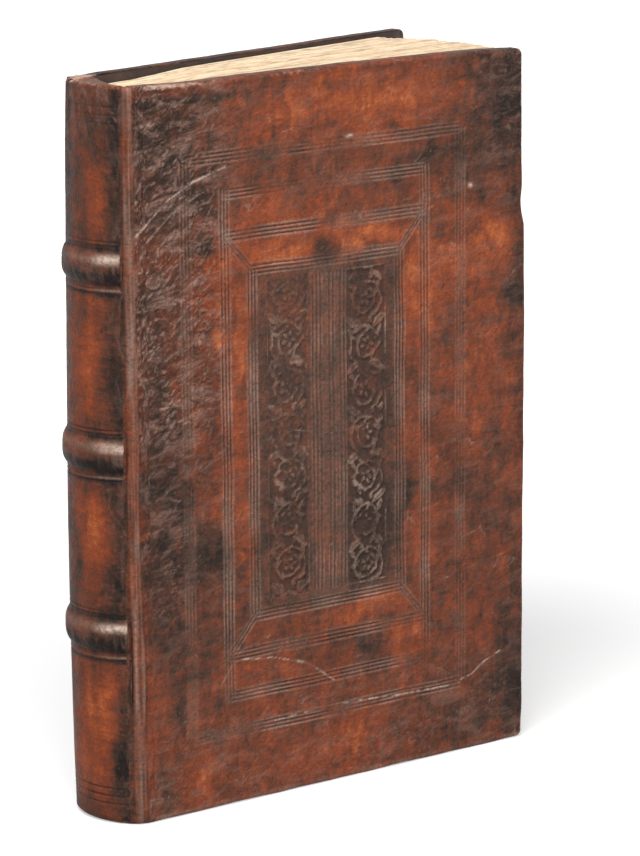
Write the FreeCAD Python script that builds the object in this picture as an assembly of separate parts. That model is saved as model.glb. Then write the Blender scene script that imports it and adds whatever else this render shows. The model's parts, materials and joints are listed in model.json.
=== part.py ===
import FreeCAD, Part
import math
import os

# An old leather-bound book standing on its tail edge, in millimetres.
# X runs from the spine to the fore-edge, -Y towards the front cover and Z up to the head.
# The work frame has its zero at the middle of the spine's chord on the table, and the
# finished pieces are moved so that the origin is the bottom centre of the book's box.

Vector = FreeCAD.Vector
UP = Vector(0, 0, 1)

# Covers
cover_height = 280.0
cover_width = 182.0
leather_thickness = 1.2
board_thickness = 4.2
turn_in_thickness = 0.6
turn_in_width = 18.0
paper_thickness = 0.35
paper_margin = 6.0
paper_joint_margin = 3.0
corner_radius = 2.6
edge_rounding = 1.8
board_setback = 1.0
joint_gap = 0.15
fan_angle = 10.8

# Spine
joint_thickness = 41.0
head_bulge = 4.4
middle_bulge = 11.3
tail_bulge = 10.3
band_count = 3
lowest_band = 74.0
band_spacing = 69.0
band_height = 2.0
band_half_width = 6.5
lining_thickness = 0.6
fit_gap = 0.05
cap_reach = 5.0
cap_side_gap = 1.0
band_end_slope = 15.0

# Leaves
square = 2.4
leaf_gap = 0.3
fore_edge_square_front = 6.2
fore_edge_square_middle = 1.9
fore_edge_square_rear = 13.0

# Sewing and lacing
cord_diameter = 2.3
cord_spacing = 2.6
cord_end_inset = 4.0
endband_core_diameter = 1.2
endband_thread_thickness = 0.15
endband_inset = 1.6
endband_end_inset = 1.5
slip_width = 7.0
slip_thickness = 2.2
slip_reach = 15.0
peg_thickness_outside = 1.8
peg_thickness_inside = 1.2

# Tooling
line_width = 0.7
line_depth = 0.4
line_spacing = 1.5
lines_in_fillet = 3
frame_centre_x = 86.0
panel_half_width = 34.5
panel_half_height = 67.0
mitre_frame_half_width = 46.5
mitre_frame_half_height = 81.0
tall_frame_half_height = 97.0
outer_frame_half_width = 64.0
outer_frame_half_height = 111.0
outer_fillet_overrun = 2.0
centre_line_offsets = (-6.6, -4.8, -3.0, 1.2, 3.0, 6.4, 8.2)
roll_offset = 18.4
roll_width = 18.5
roll_border = 5.0
motif_pitch = 17.5
flower_petal_distance = 3.4
flower_petal_length = 4.6
flower_petal_width = 2.6
side_leaf_distance = 5.2
side_leaf_length = 7.4
side_leaf_width = 3.0
side_leaf_slant = 38.0
bud_length = 5.0
bud_width = 2.0
spine_line_width = 1.0
spine_line_depth = 0.4
spine_line_from_band = 8.6
spine_line_from_end = (8.0, 11.0, 14.0)

# Sizes that follow from those above
half_fan = math.radians(fan_angle / 2)
half_joint = joint_thickness / 2
cover_thickness = leather_thickness + board_thickness + turn_in_thickness
board_face = leather_thickness + board_thickness
frame_centre_z = cover_height / 2
band_heights = [lowest_band + band_spacing * index for index in range(band_count)]
leather_inside = -leather_thickness
lining_outside = leather_inside - fit_gap
leaves_outside = lining_outside - lining_thickness
leaf_head = cover_height - square
leaf_tail = square
endband_diameter = endband_core_diameter + 2 * endband_thread_thickness
cap_thickness = square - endband_diameter - fit_gap
far = 500.0


def box(x0, x1, y0, y1, z0, z1):
    """A box between two corners."""
    return Part.makeBox(x1 - x0, y1 - y0, z1 - z0, Vector(x0, y0, z0))


# The round of the spine

def bulge(z):
    """How far the spine's round stands out behind the joints: most in the middle, least at the head."""
    share = z / cover_height
    return (tail_bulge * (1 - share) * (1 - 2 * share)
            + 4 * middle_bulge * share * (1 - share)
            + head_bulge * share * (2 * share - 1))


def spine_round(z, offset):
    """Centre and radius of the spine's round at a height, moved outwards by an offset."""
    sagitta = bulge(z)
    radius = (half_joint ** 2 + sagitta ** 2) / (2 * sagitta)
    return radius - sagitta, radius + offset


def spine_arc(z, offset):
    """The arc of the spine's round, from the front joint's plane to the rear one's."""
    centre, radius = spine_round(z, offset)
    half_chord = math.sqrt(radius ** 2 - centre ** 2)
    front = Vector(0, -half_chord, z)
    back = Vector(centre - radius, 0, z)
    rear = Vector(0, half_chord, z)
    return Part.Arc(front, back, rear).toShape(), front, rear


def spine_section(z, offset):
    """The closed outline between the spine's round and the plane of the joints."""
    arc, front, rear = spine_arc(z, offset)
    chord = Part.LineSegment(rear, front).toShape()
    return Part.Wire([arc, chord])


def spine_body(stations):
    """A body through outlines given as pairs of height and offset."""
    sections = [spine_section(z, offset) for z, offset in stations]
    return Part.makeLoft(sections, True, True)


def lining_section(z):
    """The outline of a lining, between the leaves' folds and the leather."""
    outer, outer_front, outer_rear = spine_arc(z, lining_outside)
    inner, inner_front, inner_rear = spine_arc(z, leaves_outside)
    rear_edge = Part.LineSegment(outer_rear, inner_rear).toShape()
    front_edge = Part.LineSegment(inner_front, outer_front).toShape()
    return Part.Wire([outer, rear_edge, inner, front_edge])


def band_profile(middle, half_width, base, height):
    """Heights and offsets across one raised band, a flat hump."""
    shares = (-1.0, -0.85, -0.5, 0.0, 0.5, 0.85, 1.0)
    return [(middle + share * half_width, base + height * (1 - share ** 4)) for share in shares]


def line_profile(z):
    """Heights and offsets across one pressed line on the spine."""
    half = spine_line_width / 2
    return [(z - half, 0.0), (z, -spine_line_depth), (z + half, 0.0)]


def joint_wedges(inset):
    """The two spaces outside the joints, where the bands slope down to the covers."""
    lean = math.tan(math.radians(band_end_slope))
    start = half_joint - inset / math.cos(math.radians(band_end_slope))
    corners = [
        Vector(far, start - far * lean, 0),
        Vector(-far, start + far * lean, 0),
        Vector(-far, far, 0),
        Vector(far, far, 0),
        Vector(far, start - far * lean, 0),
    ]
    rear = Part.Face(Part.makePolygon(corners)).extrude(UP * cover_height)
    return [rear, rear.mirror(Vector(0, 0, 0), Vector(0, 1, 0))]


def spine_leather():
    """The leather over the spine, with its bands, lines and the caps at head and tail."""
    outer_stations = [(0.0, 0.0), (cover_height, 0.0)]
    inner_stations = [(cap_thickness, leather_inside), (cover_height - cap_thickness, leather_inside)]
    for middle in band_heights:
        outer_stations += band_profile(middle, band_half_width, 0.0, band_height)
        inner_half = band_half_width - leather_thickness
        inner_stations += band_profile(middle, inner_half, leather_inside, band_height)
        outer_stations += line_profile(middle - spine_line_from_band)
        outer_stations += line_profile(middle + spine_line_from_band)
    for distance in spine_line_from_end:
        outer_stations += line_profile(distance)
        outer_stations += line_profile(cover_height - distance)
    outer = spine_body(sorted(outer_stations)).cut(joint_wedges(0.0))
    inner = spine_body(sorted(inner_stations)).cut(joint_wedges(leather_thickness))
    leather = outer.cut(inner)
    half_cap = leaf_half_thickness(0.0) - cap_side_gap
    cap = box(-cap_thickness, cap_reach, -half_cap, half_cap, 0, cap_thickness)
    caps = [cap, cap.translated(UP * (cover_height - cap_thickness))]
    return leather.fuse(caps).removeSplitter()


def spine_linings():
    """Four paper linings on the folds, one in each panel between the bands and the ends."""
    clear = band_half_width - leather_thickness + fit_gap
    starts = [leaf_tail] + [middle + clear for middle in band_heights]
    ends = [middle - clear for middle in band_heights] + [leaf_head]
    return [Part.makeLoft([lining_section(low), lining_section(high)], True, True)
            for low, high in zip(starts, ends)]


# The leaves

def leaf_half_thickness(x):
    """Half of the leaves' thickness at a distance from the joints, beside the fanned boards."""
    inner_face = cover_thickness + paper_thickness + leaf_gap
    return half_joint - inner_face / math.cos(half_fan) + x * math.tan(half_fan)


def text_block():
    """All the leaves as one solid: a rounded spine with shoulders, and a fanned fore-edge."""
    fore_edge = cover_width * math.cos(half_fan)
    front_x = fore_edge - fore_edge_square_front
    rear_x = fore_edge - fore_edge_square_rear
    start = Vector(0, -leaf_half_thickness(0.0), leaf_tail)
    front = Vector(front_x, -leaf_half_thickness(front_x), leaf_tail)
    middle = Vector(fore_edge - fore_edge_square_middle, 0, leaf_tail)
    rear = Vector(rear_x, leaf_half_thickness(rear_x), leaf_tail)
    end = Vector(0, leaf_half_thickness(0.0), leaf_tail)
    outline = Part.Wire([
        Part.LineSegment(start, front).toShape(),
        Part.Arc(front, middle, rear).toShape(),
        Part.LineSegment(rear, end).toShape(),
        Part.LineSegment(end, start).toShape(),
    ])
    leaves = Part.Face(outline).extrude(UP * (leaf_head - leaf_tail))
    heights = [leaf_tail] + band_heights + [leaf_head]
    folds = spine_body([(z, leaves_outside) for z in heights])
    return leaves.fuse(folds.cut(joint_wedges(leather_thickness + fit_gap))).removeSplitter()


# Sewing supports and endbands

def bent_rod(z, spine_z, offset, radius, half_length, hollow_radius=0.0):
    """A round rod bent to the spine's round, with its middle on the given offset."""
    centre, bend = spine_round(spine_z, offset)
    middle = Vector(centre - bend, 0, z)
    disc = Part.Face(Part.Wire(Part.makeCircle(radius, middle, Vector(0, 1, 0))))
    if hollow_radius:
        disc = disc.cut(Part.Face(Part.Wire(Part.makeCircle(hollow_radius, middle, Vector(0, 1, 0)))))
    half_turn = math.degrees(math.asin(half_length / bend))
    axis_point = Vector(centre, 0, z)
    disc.rotate(axis_point, UP, -half_turn)
    return disc.revolve(axis_point, UP, 2 * half_turn)


def sewing_support(middle):
    """A double cord across the folds, which the leather covers as a raised band."""
    offset = leaves_outside + cord_diameter / 2 + 2 * fit_gap
    half_length = half_joint - cord_end_inset
    cords = [bent_rod(middle + side * cord_spacing / 2, middle, offset, cord_diameter / 2, half_length)
             for side in (-1, 1)]
    return Part.makeCompound(cords)


def endband(end, radius, hollow_radius):
    """One rod of an endband, on the leaves' head or tail beside the folds."""
    spine_z = leaf_head if end == "head" else leaf_tail
    outwards = 1 if end == "head" else -1
    z = spine_z + outwards * (endband_diameter / 2 + fit_gap / 2)
    offset = leaves_outside - endband_inset
    half_length = leaf_half_thickness(0.0) - endband_end_inset
    return bent_rod(z, spine_z, offset, radius, half_length, hollow_radius)


def endband_core(end):
    return endband(end, endband_core_diameter / 2, 0.0)


def endband_thread(end):
    return endband(end, endband_diameter / 2, endband_core_diameter / 2)


# Covers, each made flat with its outer face at y = 0 and its joint at x = 0

def rounded_slab(x0, x1, y0, y1, z0, z1, corner, outer_edge):
    """A slab with rounded fore-edge corners and rounded edges round its outer face."""
    slab = box(x0, x1, y0, y1, z0, z1)
    corner_edges = [edge for edge in slab.Edges
                    if abs(edge.CenterOfMass.x - x1) < 0.01 and abs(edge.CenterOfMass.y - (y0 + y1) / 2) < 0.01]
    slab = slab.makeFillet(corner, corner_edges)
    face_edges = [edge for edge in slab.Edges
                  if edge.BoundBox.YMax < y0 + 0.01 and edge.CenterOfMass.x > x0 + 0.01]
    return slab.makeFillet(outer_edge, face_edges)


def board_envelope(spine_edge):
    """The space of a wooden board inside its leather."""
    return rounded_slab(
        spine_edge, cover_width - leather_thickness,
        leather_thickness, board_face,
        leather_thickness, cover_height - leather_thickness,
        corner_radius - leather_thickness, edge_rounding - leather_thickness)


def cord_slip(middle):
    """The laced end of a sewing support: along a channel in the board, then down its hole."""
    z0 = middle - slip_width / 2
    z1 = middle + slip_width / 2
    run = box(board_setback, slip_reach, leather_thickness, leather_thickness + slip_thickness, z0, z1)
    leg = box(slip_reach - slip_thickness, slip_reach, leather_thickness, board_face, z0, z1)
    return run.fuse(leg).removeSplitter()


def peg(middle):
    """The wooden wedge that holds a slip in its hole."""
    z0 = middle - slip_width / 2
    corners = [
        Vector(slip_reach, leather_thickness, z0),
        Vector(slip_reach + peg_thickness_outside, leather_thickness, z0),
        Vector(slip_reach + peg_thickness_inside, board_face, z0),
        Vector(slip_reach, board_face, z0),
        Vector(slip_reach, leather_thickness, z0),
    ]
    return Part.Face(Part.makePolygon(corners)).extrude(UP * slip_width)


def board():
    """A wooden board with channels and holes for the three laced slips."""
    slips = [cord_slip(middle) for middle in band_heights]
    pegs = [peg(middle) for middle in band_heights]
    return board_envelope(board_setback).cut(slips + pegs)


def cover_leather(tooling):
    """The leather over a board, turned in round three edges and cut at the joint."""
    skin = rounded_slab(joint_gap, cover_width, 0, cover_thickness, 0, cover_height,
                        corner_radius, edge_rounding)
    window = box(-far, cover_width - turn_in_width, leather_thickness, far,
                 turn_in_width, cover_height - turn_in_width)
    return skin.cut([board_envelope(-cover_width), window]).cut(tooling)


def pastedown():
    """The paper pasted inside a cover, over the turn-ins and down on the bare board."""
    x0 = paper_joint_margin
    x1 = cover_width - paper_margin
    window_x = cover_width - turn_in_width
    low = turn_in_width
    high = cover_height - turn_in_width
    paper_face = cover_thickness + paper_thickness
    sheet = box(x0, x1, cover_thickness, paper_face, paper_margin, cover_height - paper_margin)
    pan = box(x0, window_x, board_face, paper_face, low, high)
    hollow = box(x0 - 1, window_x - paper_thickness, board_face + paper_thickness, far,
                 low + paper_thickness, high - paper_thickness)
    return sheet.fuse(pan).cut(hollow).removeSplitter()


# Blind tooling on a cover's outer face

def groove(x0, z0, x1, z1, width=line_width):
    """A straight line pressed into the leather."""
    length = math.hypot(x1 - x0, z1 - z0)
    angle = math.degrees(math.atan2(z1 - z0, x1 - x0))
    line = box(0, length, -line_depth, line_depth, -width / 2, width / 2)
    line.rotate(Vector(0, 0, 0), Vector(0, -1, 0), angle)
    return line.translated(Vector(x0, 0, z0))


def fillet_offsets():
    """Distances of a fillet's parallel lines from its middle."""
    return [(index - (lines_in_fillet - 1) / 2) * line_spacing for index in range(lines_in_fillet)]


def across(half_length, height):
    """A fillet that runs level, at a height from the middle of the design."""
    z = frame_centre_z + height
    return [groove(frame_centre_x - half_length, z + step, frame_centre_x + half_length, z + step)
            for step in fillet_offsets()]


def upright(place, half_length):
    """A fillet that runs up and down, at a distance from the middle of the design."""
    x = frame_centre_x + place
    return [groove(x + step, frame_centre_z - half_length, x + step, frame_centre_z + half_length)
            for step in fillet_offsets()]


def fillet_frames():
    """Nested frames of fillets, with lines across the mitred corners of the panel's frame."""
    grooves = []
    for side in (-1, 1):
        grooves += across(panel_half_width, side * panel_half_height)
        grooves += across(mitre_frame_half_width, side * mitre_frame_half_height)
        grooves += across(mitre_frame_half_width, side * tall_frame_half_height)
        grooves += across(outer_frame_half_width, side * outer_frame_half_height)
        grooves += upright(side * panel_half_width, panel_half_height)
        grooves += upright(side * mitre_frame_half_width, tall_frame_half_height + outer_fillet_overrun)
        grooves += upright(side * outer_frame_half_width, outer_frame_half_height)
        for end in (-1, 1):
            grooves.append(groove(
                frame_centre_x + side * panel_half_width,
                frame_centre_z + end * panel_half_height,
                frame_centre_x + side * mitre_frame_half_width,
                frame_centre_z + end * mitre_frame_half_height))
    return grooves


def petal(x, z, length, width, angle):
    """A pointed leaf shape, standing through the pressed ground."""
    shares = ((-0.5, 0.0), (-0.2, 0.5), (0.2, 0.5), (0.5, 0.0), (0.2, -0.5), (-0.2, -0.5), (-0.5, 0.0))
    corners = [Vector(along * length, -line_depth, aside * width) for along, aside in shares]
    shape = Part.Face(Part.makePolygon(corners)).extrude(Vector(0, 2 * line_depth, 0))
    shape.rotate(Vector(0, 0, 0), Vector(0, -1, 0), angle)
    return shape.translated(Vector(x, 0, z))


def motif(x, z):
    """One repeat of the roll: a flower of four petals, then a bud between two leaves."""
    shapes = []
    for turn in (45, 135, 225, 315):
        petal_x = x + flower_petal_distance * math.cos(math.radians(turn))
        petal_z = z + flower_petal_distance * math.sin(math.radians(turn))
        shapes.append(petal(petal_x, petal_z, flower_petal_length, flower_petal_width, turn))
    leaf_z = z + motif_pitch / 2
    for side in (-1, 1):
        shapes.append(petal(x + side * side_leaf_distance, leaf_z, side_leaf_length, side_leaf_width,
                            side * side_leaf_slant))
    shapes.append(petal(x, leaf_z, bud_length, bud_width, 90))
    return shapes


def roll(x):
    """The pressed ground of one foliate roll, with its leaves and flowers left standing."""
    half_height = panel_half_height - roll_border
    count = int(2 * half_height // motif_pitch)
    ground = box(x - roll_width / 2, x + roll_width / 2, -line_depth, line_depth,
                 frame_centre_z - half_height, frame_centre_z + half_height)
    ornaments = []
    for index in range(count):
        ornaments += motif(x, frame_centre_z + (index - (count - 1) / 2) * motif_pitch - motif_pitch / 4)
    return ground.cut(ornaments)


def panel_tooling():
    """The two rolls and the upright lines between them inside the middle panel."""
    rolls = [roll(frame_centre_x + side * roll_offset) for side in (-1, 1)]
    half_height = panel_half_height - roll_border
    lines = [groove(frame_centre_x + offset, frame_centre_z - half_height,
                    frame_centre_x + offset, frame_centre_z + half_height)
             for offset in centre_line_offsets]
    return rolls + lines


# Placing and writing

def on_front(shape):
    """Turn and move a flat cover's piece to the front of the leaves."""
    placed = shape.copy()
    placed.rotate(Vector(0, 0, 0), UP, -math.degrees(half_fan))
    return placed.translated(Vector(0, -half_joint, 0))


def on_rear(shape):
    """The mirror place of a cover's piece, behind the leaves."""
    return on_front(shape).mirror(Vector(0, 0, 0), Vector(0, 1, 0))


def build():
    """Every piece of the book by name, in the work frame."""
    pieces = {"text_block": text_block(), "spine_leather": spine_leather()}
    for number, middle in enumerate(band_heights, start=1):
        pieces["sewing_support_%d" % number] = sewing_support(middle)
    for number, lining in enumerate(spine_linings(), start=1):
        pieces["spine_lining_%d" % number] = lining
    for end in ("head", "tail"):
        pieces["endband_core_" + end] = endband_core(end)
        pieces["endband_thread_" + end] = endband_thread(end)
    tooling = {"front": fillet_frames() + panel_tooling(), "rear": fillet_frames()}
    for side, place in (("front", on_front), ("rear", on_rear)):
        pieces[side + "_board"] = place(board())
        pieces[side + "_leather"] = place(cover_leather(tooling[side]))
        pieces[side + "_pastedown"] = place(pastedown())
        pieces[side + "_cord_slips"] = place(Part.makeCompound([cord_slip(z) for z in band_heights]))
        pieces[side + "_lacing_pegs"] = place(Part.makeCompound([peg(z) for z in band_heights]))
    return pieces


def main():
    os.makedirs("parts", exist_ok=True)
    pieces = build()
    whole = Part.makeCompound(list(pieces.values())).optimalBoundingBox(False, False)
    middle_x = (whole.XMin + whole.XMax) / 2
    print("book spans", round(whole.XLength, 2), round(whole.YLength, 2), round(whole.ZLength, 2))
    print("joint line lies at x =", round(-middle_x, 3), "y = +-", half_joint)
    for name, shape in pieces.items():
        placed = shape.translated(Vector(-middle_x, 0, 0))
        print(name, "solids", len(placed.Solids), "valid", placed.isValid(), "volume", round(placed.Volume, 1))
        placed.exportStep("parts/%s.step" % name)


main()
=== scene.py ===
import bpy
import json
import math
import numpy as np
from mathutils import Matrix, Vector


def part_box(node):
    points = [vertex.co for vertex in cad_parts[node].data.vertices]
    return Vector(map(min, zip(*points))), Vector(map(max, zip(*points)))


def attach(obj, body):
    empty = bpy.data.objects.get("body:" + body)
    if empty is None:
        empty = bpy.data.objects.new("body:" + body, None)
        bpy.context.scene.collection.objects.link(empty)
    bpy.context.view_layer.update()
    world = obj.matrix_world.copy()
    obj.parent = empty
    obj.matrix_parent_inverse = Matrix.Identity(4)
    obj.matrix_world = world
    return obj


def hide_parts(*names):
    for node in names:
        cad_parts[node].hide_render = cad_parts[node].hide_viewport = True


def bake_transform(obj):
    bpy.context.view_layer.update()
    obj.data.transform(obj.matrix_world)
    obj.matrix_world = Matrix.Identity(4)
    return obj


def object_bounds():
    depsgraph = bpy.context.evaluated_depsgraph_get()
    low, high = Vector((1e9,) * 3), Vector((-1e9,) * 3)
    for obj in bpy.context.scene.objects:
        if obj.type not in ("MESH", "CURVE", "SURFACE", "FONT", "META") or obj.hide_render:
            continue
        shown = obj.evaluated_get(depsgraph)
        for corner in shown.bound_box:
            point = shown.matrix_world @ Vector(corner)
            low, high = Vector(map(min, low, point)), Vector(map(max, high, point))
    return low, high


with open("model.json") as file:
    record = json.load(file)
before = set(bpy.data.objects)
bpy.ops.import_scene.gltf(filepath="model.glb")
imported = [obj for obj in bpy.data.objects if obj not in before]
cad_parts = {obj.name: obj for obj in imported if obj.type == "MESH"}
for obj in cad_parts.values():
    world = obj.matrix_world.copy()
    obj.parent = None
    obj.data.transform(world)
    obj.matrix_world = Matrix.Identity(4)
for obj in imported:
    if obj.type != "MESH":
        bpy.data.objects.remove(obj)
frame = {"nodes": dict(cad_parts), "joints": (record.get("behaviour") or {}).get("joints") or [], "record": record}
cad_low, cad_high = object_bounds()

# An old leather-bound book that stands on its tail edge. Sizes are in millimetres in the frame
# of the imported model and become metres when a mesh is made.

MM = 0.001
FRONT, REAR = -1, 1
SIDE_NAMES = {FRONT: "front", REAR: "rear"}

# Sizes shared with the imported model
joint_place = frame["joints"][0]["pos_m"]
joint_x = joint_place[0] / MM
half_joint = abs(joint_place[1]) / MM
cover_height = (cad_high.z - cad_low.z) / MM
cover_width = 182.0
half_fan = math.radians(5.4)
board_face = 5.4
cover_thickness = 6.0
corner_radius = 2.6
edge_rounding = 1.8
turn_in_width = 18.0
board_setback = 1.0
square = 2.4
head_bulge = 4.4
middle_bulge = 11.3
tail_bulge = 10.3
band_height = 1.8
band_half_width = 6.5
cord_heights = [74.0, 143.0, 212.0]
band_heights = [74.0, 143.0, 213.2]
cap_reach = 5.0
paper_thickness = 0.35
leaf_gap = 0.3
leaf_head = cover_height - square
leaf_tail = square
leaves_outside = -1.85
fore_edge_squares = (6.2, 1.9, 13.0)

# The blind tooling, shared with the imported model
frame_centre_x = 86.0
frame_centre_z = cover_height / 2
panel_half_width = 34.5
panel_half_height = 67.0
mitre_frame_half_width = 46.5
mitre_frame_half_height = 81.0
tall_frame_half_height = 97.0
outer_frame_half_width = 64.0
outer_frame_half_height = 111.0
outer_fillet_overrun = 2.0
line_spacing = 1.5
centre_line_offsets = (-6.6, -4.8, -3.0, 1.2, 3.0, 6.4, 8.2)
roll_offset = 18.4
roll_half_width = 9.25
roll_border = 5.0
flower_pitch = 17.5
curl_radius = 8.0

# What only the looks need
line_half_width = 0.55
line_depth = 0.5
roll_depth = 0.6
hinge_reach = 4.6
spine_reach = 6.2
grid_step = 0.6
plain_grid_step = 3.0
mitre_grid_step = 0.62
leaf_rise = 0.9
leaf_count = 96
joint_leather_thickness = 0.8
joint_middle = 2.4
cord_radius = 1.1
half_cord_spacing = 1.55
core_radius = 0.6
thread_radius = 0.2
thread_lift = 0.08
thread_turns = 44
LEATHER_LAYERS = ("place", "tone", "shade_and_dark_marks", "rub", "pale", "wrinkle")


# Small helpers

def srgb(red, green, blue):
    """A colour given as 0 to 255 display values, in linear light."""
    return tuple(((v / 255 + 0.055) / 1.055) ** 2.4 if v > 10 else v / 255 / 12.92
                 for v in (red, green, blue)) + (1.0,)


def ease(low, high, value):
    """0 below low, 1 above high and smooth between them."""
    share = np.clip((value - low) / (high - low), 0, 1)
    return share * share * (3 - 2 * share)


def bump_curve(value, half_width):
    """A smooth hump: 1 at zero and 0 beyond the half width."""
    return 1 - ease(0, half_width, np.abs(value))


def cos_sin(angle):
    """Cosine and sine of an angle in degrees."""
    return math.cos(math.radians(angle)), math.sin(math.radians(angle))


def through_three(first, middle, last, share):
    """A smooth curve through three values, at shares 0, a half and 1."""
    return (first * (1 - share) * (1 - 2 * share)
            + 4 * middle * share * (1 - share)
            + last * share * (2 * share - 1))


def drawn_to(start, control, stop, share):
    """A curve from start to stop that is drawn towards a control point."""
    return (1 - share) ** 2 * start + 2 * share * (1 - share) * control + share ** 2 * stop


def noise(x, z, size, seed):
    """Smooth noise between -1 and 1, with features of about the given size."""
    table = np.random.default_rng(seed).uniform(-1, 1, (64, 64))
    px = np.asarray(x, float) / size + 17.3
    pz = np.asarray(z, float) / size + 23.9
    ix = np.floor(px).astype(int)
    iz = np.floor(pz).astype(int)
    fx = ease(0, 1, px - ix)
    fz = ease(0, 1, pz - iz)
    low = table[ix % 64, iz % 64] * (1 - fx) + table[(ix + 1) % 64, iz % 64] * fx
    high = table[ix % 64, (iz + 1) % 64] * (1 - fx) + table[(ix + 1) % 64, (iz + 1) % 64] * fx
    return low * (1 - fz) + high * fz


def rough_noise(x, z, size, seed, layers=3):
    """Several layers of noise, each half as large and half as strong as the one before."""
    return sum(noise(x, z, size / 2 ** layer, seed + layer) / 2 ** layer for layer in range(layers)) / 1.6


def pebbles(x, z, size, seed):
    """A pattern of rounded cells: 0 between two cells and 1 well inside one."""
    shift = np.random.default_rng(seed).uniform(0, 1, (64, 64, 2))
    px, pz = x / size + 40.5, z / size + 40.5
    ix, iz = np.floor(px).astype(int), np.floor(pz).astype(int)
    nearest = np.full(px.shape, 9.0)
    second = np.full(px.shape, 9.0)
    for step_x in (-1, 0, 1):
        for step_z in (-1, 0, 1):
            place = shift[(ix + step_x) % 64, (iz + step_z) % 64]
            distance = np.hypot(ix + step_x + place[..., 0] - px, iz + step_z + place[..., 1] - pz)
            second = np.minimum(second, np.maximum(nearest, distance))
            nearest = np.minimum(nearest, distance)
    return np.clip((second - nearest) / 0.6, 0, 1)


def grain(x, z, wrinkle, seed):
    """Old leather's surface: its relief, its dark cracks with painted shade in its creases, its pale tops painted
    as highlights with pale hairlines, and the change of its tone.
    """
    x, z, wrinkle = np.broadcast_arrays(x, z, wrinkle)
    wind_x = x + 1.5 * noise(x, z, 5, seed) + 0.6 * noise(x, z, 2, seed + 1)
    wind_z = z + 1.5 * noise(x, z, 5, seed + 2) + 0.6 * noise(x, z, 2, seed + 3)
    slant_x, slant_z = 0.82 * wind_x + 0.57 * wind_z, 0.82 * wind_z - 0.57 * wind_x
    folds = pebbles(slant_x / 1.9, slant_z, 1.6, seed + 4)
    cracks = pebbles(wind_x, wind_z, 4.6, seed + 5)
    specks = rough_noise(wind_x, wind_z, 2.0, seed + 6, 2)
    blotches = rough_noise(wind_x, wind_z, 6.0, seed + 9, 3)
    upright = noise(wind_x, wind_z / 7, 1.5, seed + 12)
    level = noise(wind_x / 8, wind_z, 1.5, seed + 13)
    strokes = noise(slant_x / 3.2, slant_z, 0.95, seed + 15)
    hairs = np.abs(noise(slant_x / 5.0, slant_z, 2.6, seed + 16))
    relief = wrinkle * (0.3 * ease(0, 0.6, folds) + 0.12 * strokes - 0.2)
    relief = relief + 0.05 * ease(0, 0.3, cracks) + 0.05 * specks
    # Painted shade: darker in the creases between the folds and along the low strokes; the cracks are darker too.
    dark = wrinkle * np.maximum(ease(0.24, 0.05, folds), 0.8 * ease(-0.2, -0.7, strokes))
    dark = np.maximum(dark, 0.3 * ease(0.14, 0.02, cracks))
    lit = noise(x, z, 8, seed + 14) + 0.6 * specks
    # Painted highlights on the folds' tops; below, pale hairlines.
    pale = 0.68 * wrinkle * ease(0.0, 0.7, strokes) * ease(0.1, 0.6, folds) * (0.7 + 0.3 * lit)
    pale = np.maximum(pale, 0.4 * ease(0.05, 0.01, hairs) * ease(0.2, 0.7, lit))
    tone = 0.2 * blotches + 0.08 * specks + 0.09 * upright + 0.07 * level
    return relief, dark, pale, tone


def soft_spot(x, z, centre_x, centre_z, half_width, half_height):
    """1 in the middle of an oval spot, falling to 0 at about twice its size."""
    distance = ((x - centre_x) / half_width) ** 2 + ((z - centre_z) / half_height) ** 2
    return np.exp(-0.9 * distance)


def grid_faces(rows, columns, first=0, flip=False, closed=False):
    """Quads over a grid of vertices that are numbered row by row."""
    steps = np.arange(columns if closed else columns - 1)
    row, column = np.meshgrid(np.arange(rows - 1), steps, indexing="ij")
    here = first + row * columns + column
    right = first + row * columns + (column + 1) % columns
    quads = np.stack([here, right, right + columns, here + columns], axis=-1).reshape(-1, 4)
    return quads[:, ::-1] if flip else quads


def make_mesh(name, points, faces, layers=None, smooth=True):
    """A mesh object from points in millimetres; layers are named values for each vertex."""
    mesh = bpy.data.meshes.new(name)
    points = np.asarray(points, float).reshape(-1, 3)
    mesh.from_pydata((points * MM).tolist(), [], [list(map(int, face)) for face in faces])
    for layer, values in (layers or {}).items():
        values = np.asarray(values, np.float32)
        if values.size == len(points) * 3:
            attribute = mesh.attributes.new(layer, "FLOAT_VECTOR", "POINT")
            attribute.data.foreach_set("vector", values.reshape(-1))
        else:
            attribute = mesh.attributes.new(layer, "FLOAT", "POINT")
            attribute.data.foreach_set("value", values.reshape(-1))
    mesh.polygons.foreach_set("use_smooth", [smooth] * len(mesh.polygons))
    mesh.update()
    piece = bpy.data.objects.new(name, mesh)
    bpy.context.scene.collection.objects.link(piece)
    return piece


def finish_piece(piece, material, slot_name, *replaced):
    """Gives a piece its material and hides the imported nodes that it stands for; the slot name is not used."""
    piece.data.materials.clear()
    piece.data.materials.append(material)
    if replaced:
        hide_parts(*replaced)


def on_cover(side, x, y, z):
    """Points of a flat cover, with its outer face at y = 0, turned to its place on the book."""
    x, y, z = np.broadcast_arrays(x, y, z)
    across = x * math.cos(half_fan) + y * math.sin(half_fan) + joint_x
    outwards = half_joint + x * math.sin(half_fan) - y * math.cos(half_fan)
    return np.stack([across, side * outwards, z], axis=-1)


# Materials

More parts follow.
